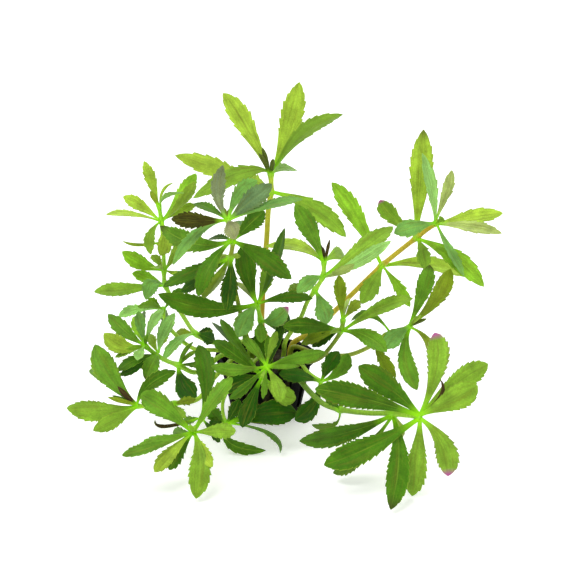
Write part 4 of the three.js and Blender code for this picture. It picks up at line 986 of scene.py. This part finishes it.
def ring_of_points(work, radius, height, columns=COLUMNS):
    """One level ring round the pot's axis, with a point at the edge of every column."""
    turns = [2 * math.pi * i / columns for i in range(columns)]
    return [work.verts.new((radius * math.cos(turn) * MM, radius * math.sin(turn) * MM, height * MM))
            for turn in turns]


def in_slot(column, row):
    """Every sixth part of the wall is open for two columns, and the foot in two places a quarter."""
    in_wall = column % (COLUMNS // POT_SLOTS) in (0, 5) and row in (6, 7, 8)
    in_foot = column % (COLUMNS // FOOT_SLOTS) in (8, 9) and row in (0, 1)
    return in_wall or in_foot


def pot_mesh():
    rows = [(0.4, 0), (0.55, 0), (0.8, 0), (0.97, 0), (1, 0.3), (1, 2), (1, SLOT_LOW), (1, 12), (1, 18),
            (1, SLOT_HIGH), (1, 27), (1, UNDER_LIP)]
    work = bmesh.new()
    rings = [ring_of_points(work, pot_radius(height) * share, height) for share, height in rows]
    lip = [(POT_RIM - 0.2, UNDER_LIP), (POT_RIM, UNDER_LIP + 0.2), (POT_RIM, POT_HEIGHT - 0.4)]
    rings += [ring_of_points(work, radius, height) for radius, height in lip]
    for row, (low, high) in enumerate(zip(rings, rings[1:])):
        for i in range(COLUMNS):
            j = (i + 1) % COLUMNS
            if not in_slot(i, row):
                work.faces.new((low[i], low[j], high[j], high[i]))
    work.faces.new(list(reversed(rings[0])))
    mesh = bpy.data.meshes.new("pot_shell")
    bmesh.ops.recalc_face_normals(work, faces=work.faces)
    work.to_mesh(mesh)
    work.free()
    return mesh


def pot_material():
    # Injection-moulded polypropylene: a deep matt black that swallows the light, with a faint grain.
    material, tree, shader = new_material("moulded polypropylene", 0.7, 0.03)
    spot = add(tree, "TexCoord").outputs["Object"]
    cloud = add(tree, "TexNoise", {"Vector": spot, "Scale": per(POT_CLOUD), "Detail": 5})
    grain = add(tree, "TexNoise", {"Vector": spot, "Scale": per(POT_GRAIN), "Detail": 2})
    black = add(tree, "ValToRGB", (cloud,), [(0.3, "#020302"), (0.62, "#040504"), (0.8, "#0b0b0a")])
    dull = add(tree, "MapRange", {"Value": cloud, "To Min": 0.5, "To Max": 0.75})
    bump = add(tree, "Bump", {"Height": grain, "Strength": 0.25, "Distance": POT_RELIEF * MM})
    fill(tree, shader, {"Base Color": black, "Roughness": dull, "Normal": bump})
    return material


shell = new_object("pot_shell", pot_mesh())
shell.data.materials.append(pot_material())
wall = shell.modifiers.new("wall", "SOLIDIFY")
wall.thickness = POT_WALL * MM
wall.offset = -1
round_off = shell.modifiers.new("edges", "BEVEL")
round_off.width = EDGE_ROUNDING * MM
round_off.segments = 2
round_off.limit_method = "ANGLE"
pot = finished(shell, "net_pot", "pot")
print("pot faces", len(pot.data.polygons))

# %% [markdown]
# ## The growing medium
# Mineral wool is a felt of fine brownish fibres. The plug is a lumpy body, and loose fibres are scattered
# over it with Geometry Nodes: points on its faces, a short bent fibre on each, turned at random.

# %% Plug body
WOOL_FOOT, WOOL_RIM, WOOL_FLOOR = 15.2, 20.4, 1.9
WOOL_COLUMNS = 60
# Lumps about 4.5 mm wide.
LUMP_SCALE, LUMP_DEPTH = 220, 1.2


def wool_mesh():
    profile = [(8, WOOL_FLOOR), (WOOL_FOOT - 0.8, WOOL_FLOOR), (WOOL_FOOT, WOOL_FLOOR + 0.8)]
    side = [i / 8 for i in range(1, 9)]
    profile += [(WOOL_FOOT + (WOOL_RIM - WOOL_FOOT) * i, 3 + (WOOL_TOP - 4.2) * i) for i in side]
    profile += [(r, WOOL_TOP) for r in (WOOL_RIM - 1.5, 16, 13, 10, 7, 4, 1.5)]
    work = bmesh.new()
    rings = [ring_of_points(work, radius, height, WOOL_COLUMNS) for radius, height in profile]
    under, over = (work.verts.new((0, 0, height * MM)) for height in (WOOL_FLOOR, WOOL_TOP))
    for i in range(WOOL_COLUMNS):
        j = (i + 1) % WOOL_COLUMNS
        work.faces.new((under, rings[0][j], rings[0][i]))
        work.faces.new((over, rings[-1][i], rings[-1][j]))
        for low, high in zip(rings, rings[1:]):
            work.faces.new((low[i], low[j], high[j], high[i]))
    bmesh.ops.recalc_face_normals(work, faces=work.faces)
    work.normal_update()
    for vert in work.verts:
        lump = noise.fractal(vert.co * LUMP_SCALE, 1.0, 2.0, 3)
        vert.co -= vert.normal * (abs(lump) * LUMP_DEPTH * MM)
    for face in work.faces:
        face.smooth = True
    mesh = bpy.data.meshes.new("plug")
    work.to_mesh(mesh)
    work.free()
    return mesh


# %% Fibre tree
FIBRE_LENGTH, FIBRE_RADIUS, FIBRE_BEND = 3.2, 0.09, 1.1
FIBRES_A_SQUARE_METRE = 260000.0
FIBRE_MIDDLE = (-3.0 * MM, -1.4 * MM, 0)
FIBRE_TILT = 0.35
WOOL_CLOUD, WOOL_RELIEF = 5.56, 0.8


def fibre_tree():
    tree, given, outputs = new_tree("wool fibres", {
        "Density": FIBRES_A_SQUARE_METRE, "Fibre Length": FIBRE_LENGTH * MM,
        "Fibre Radius": FIBRE_RADIUS * MM, "Seed": 3})
    spread = add(tree, "DistributePointsOnFaces", {
        "Mesh": given["Geometry"], "Density": given["Density"], "Seed": given["Seed"]})
    arc = add(tree, "CurveArc", {"Resolution": 5, "Radius": given["Fibre Length"], "Sweep Angle": FIBRE_BEND})
    ring = add(tree, "CurvePrimitiveCircle", {"Resolution": 3, "Radius": given["Fibre Radius"]})
    fibre = add(tree, "CurveToMesh", {"Curve": arc, "Profile Curve": ring, "Fill Caps": True})
    centred = add(tree, "Transform", {0: fibre, "Translation": FIBRE_MIDDLE})
    flat = add(tree, "SetShadeSmooth", {0: centred, "Shade Smooth": False})
    spin = add(tree, "RandomValue", {
        0: (-FIBRE_TILT, -FIBRE_TILT, 0), 1: (FIBRE_TILT, FIBRE_TILT, 2 * math.pi),
        "Seed": given["Seed"]}, data_type="FLOAT_VECTOR")
    turned = add(tree, "RotateRotation", (spread.outputs["Rotation"], spin))
    laid = add(tree, "InstanceOnPoints", {"Points": spread, "Instance": flat, "Rotation": turned})
    both = add(tree, "JoinGeometry", (laid,))
    fill(tree, both, (given["Geometry"],))
    finish_tree(tree, given, outputs, both)
    return tree


def wool_material():
    # Damp mineral wool: matt fibres, olive-brown, darker where it is wet.
    material, tree, shader = new_material("damp mineral wool", 0.9, 0.2)
    spot = add(tree, "TexCoord").outputs["Object"]
    cloud = add(tree, "TexNoise", {"Vector": spot, "Scale": per(WOOL_CLOUD), "Detail": 6})
    brown = add(tree, "ValToRGB", (cloud,), [(0.25, "#140f08"), (0.5, "#262012"), (0.75, "#443c24")])
    bump = add(tree, "Bump", {"Height": cloud, "Strength": 0.6, "Distance": WOOL_RELIEF * MM})
    fill(tree, shader, {"Base Color": brown, "Normal": bump})
    return material


plug = new_object("plug", wool_mesh())
wool = grown(plug, fibre_tree(), "wool_plug", wool_material(), "growing_medium")
print("wool faces", len(wool.data.polygons))

# %% [markdown]
# ## Floor, light and camera
# The plant stands on a plain white sweep under a large soft light from above and in front, with light
# from all round, so that shadows are faint. The camera is the eye that the layout was read with.

# %% Floor
FLOOR_SIZE = 12
FLOOR_GLOW = 0.28
WHITE = (1, 1, 1, 1)

bpy.ops.mesh.primitive_plane_add(size=FLOOR_SIZE)
floor = bpy.context.object
floor.name = "floor"
paper, paper_tree, paper_shader = new_material("white paper sweep", 0.9, 0.2)
paper_cloud = add(paper_tree, "TexNoise", {"Scale": 3.0})
paper_shade = add(paper_tree, "ValToRGB", (paper_cloud,), [(0.3, "#fbfbfa"), (0.7, "#fdfdfd")])
fill(paper_tree, paper_shader, {
    "Base Color": paper_shade, "Emission Color": WHITE, "Emission Strength": FLOOR_GLOW})
floor.data.materials.append(paper)
print("floor", FLOOR_SIZE, "m across")

# %% Light
ROOM_LIGHT = 0.78
LIT_SPOT = Vector((0, 0, 0.06))
# Each lamp's place in metres, its width in metres and its power in watts.
LAMPS = {
    "key": ((-0.4, -0.5, 1.3), 0.7, 9),
    "fill": ((1.1, -0.5, 0.8), 0.9, 2),
    "back": ((0.2, 1.1, 0.9), 0.9, 5),
}

world = bpy.data.worlds.new("studio")
bpy.context.scene.world = world
world.use_nodes = True
backdrop = next(node for node in world.node_tree.nodes if node.type == "BACKGROUND")
fill(world.node_tree, backdrop, {"Color": WHITE, "Strength": ROOM_LIGHT})
bpy.context.scene.view_settings.view_transform = "Standard"


def aimed(name, data, spot, direction):
    """A lamp or a camera that stands at the spot and looks along the direction."""
    holder = new_object(name, data)
    holder.location = spot
    holder.rotation_mode = "QUATERNION"
    holder.rotation_quaternion = direction.to_track_quat("-Z", "Y")
    return holder


for name, (spot, width, power) in LAMPS.items():
    lamp = bpy.data.lights.new(name, "AREA")
    lamp.size = width
    lamp.energy = power
    aimed(name, lamp, spot, LIT_SPOT - Vector(spot))
print("lamps", len(LAMPS))

# %% Camera
SENSOR = 36

camera = bpy.data.cameras.new("eye")
camera.sensor_width = SENSOR
camera.lens = SENSOR * EYE_DISTANCE / SHEET_WIDTH
camera.clip_start = 0.01
bpy.context.scene.camera = aimed("eye", camera, EYE * MM, SIGHT)
print("lens", round(camera.lens, 1), "mm")
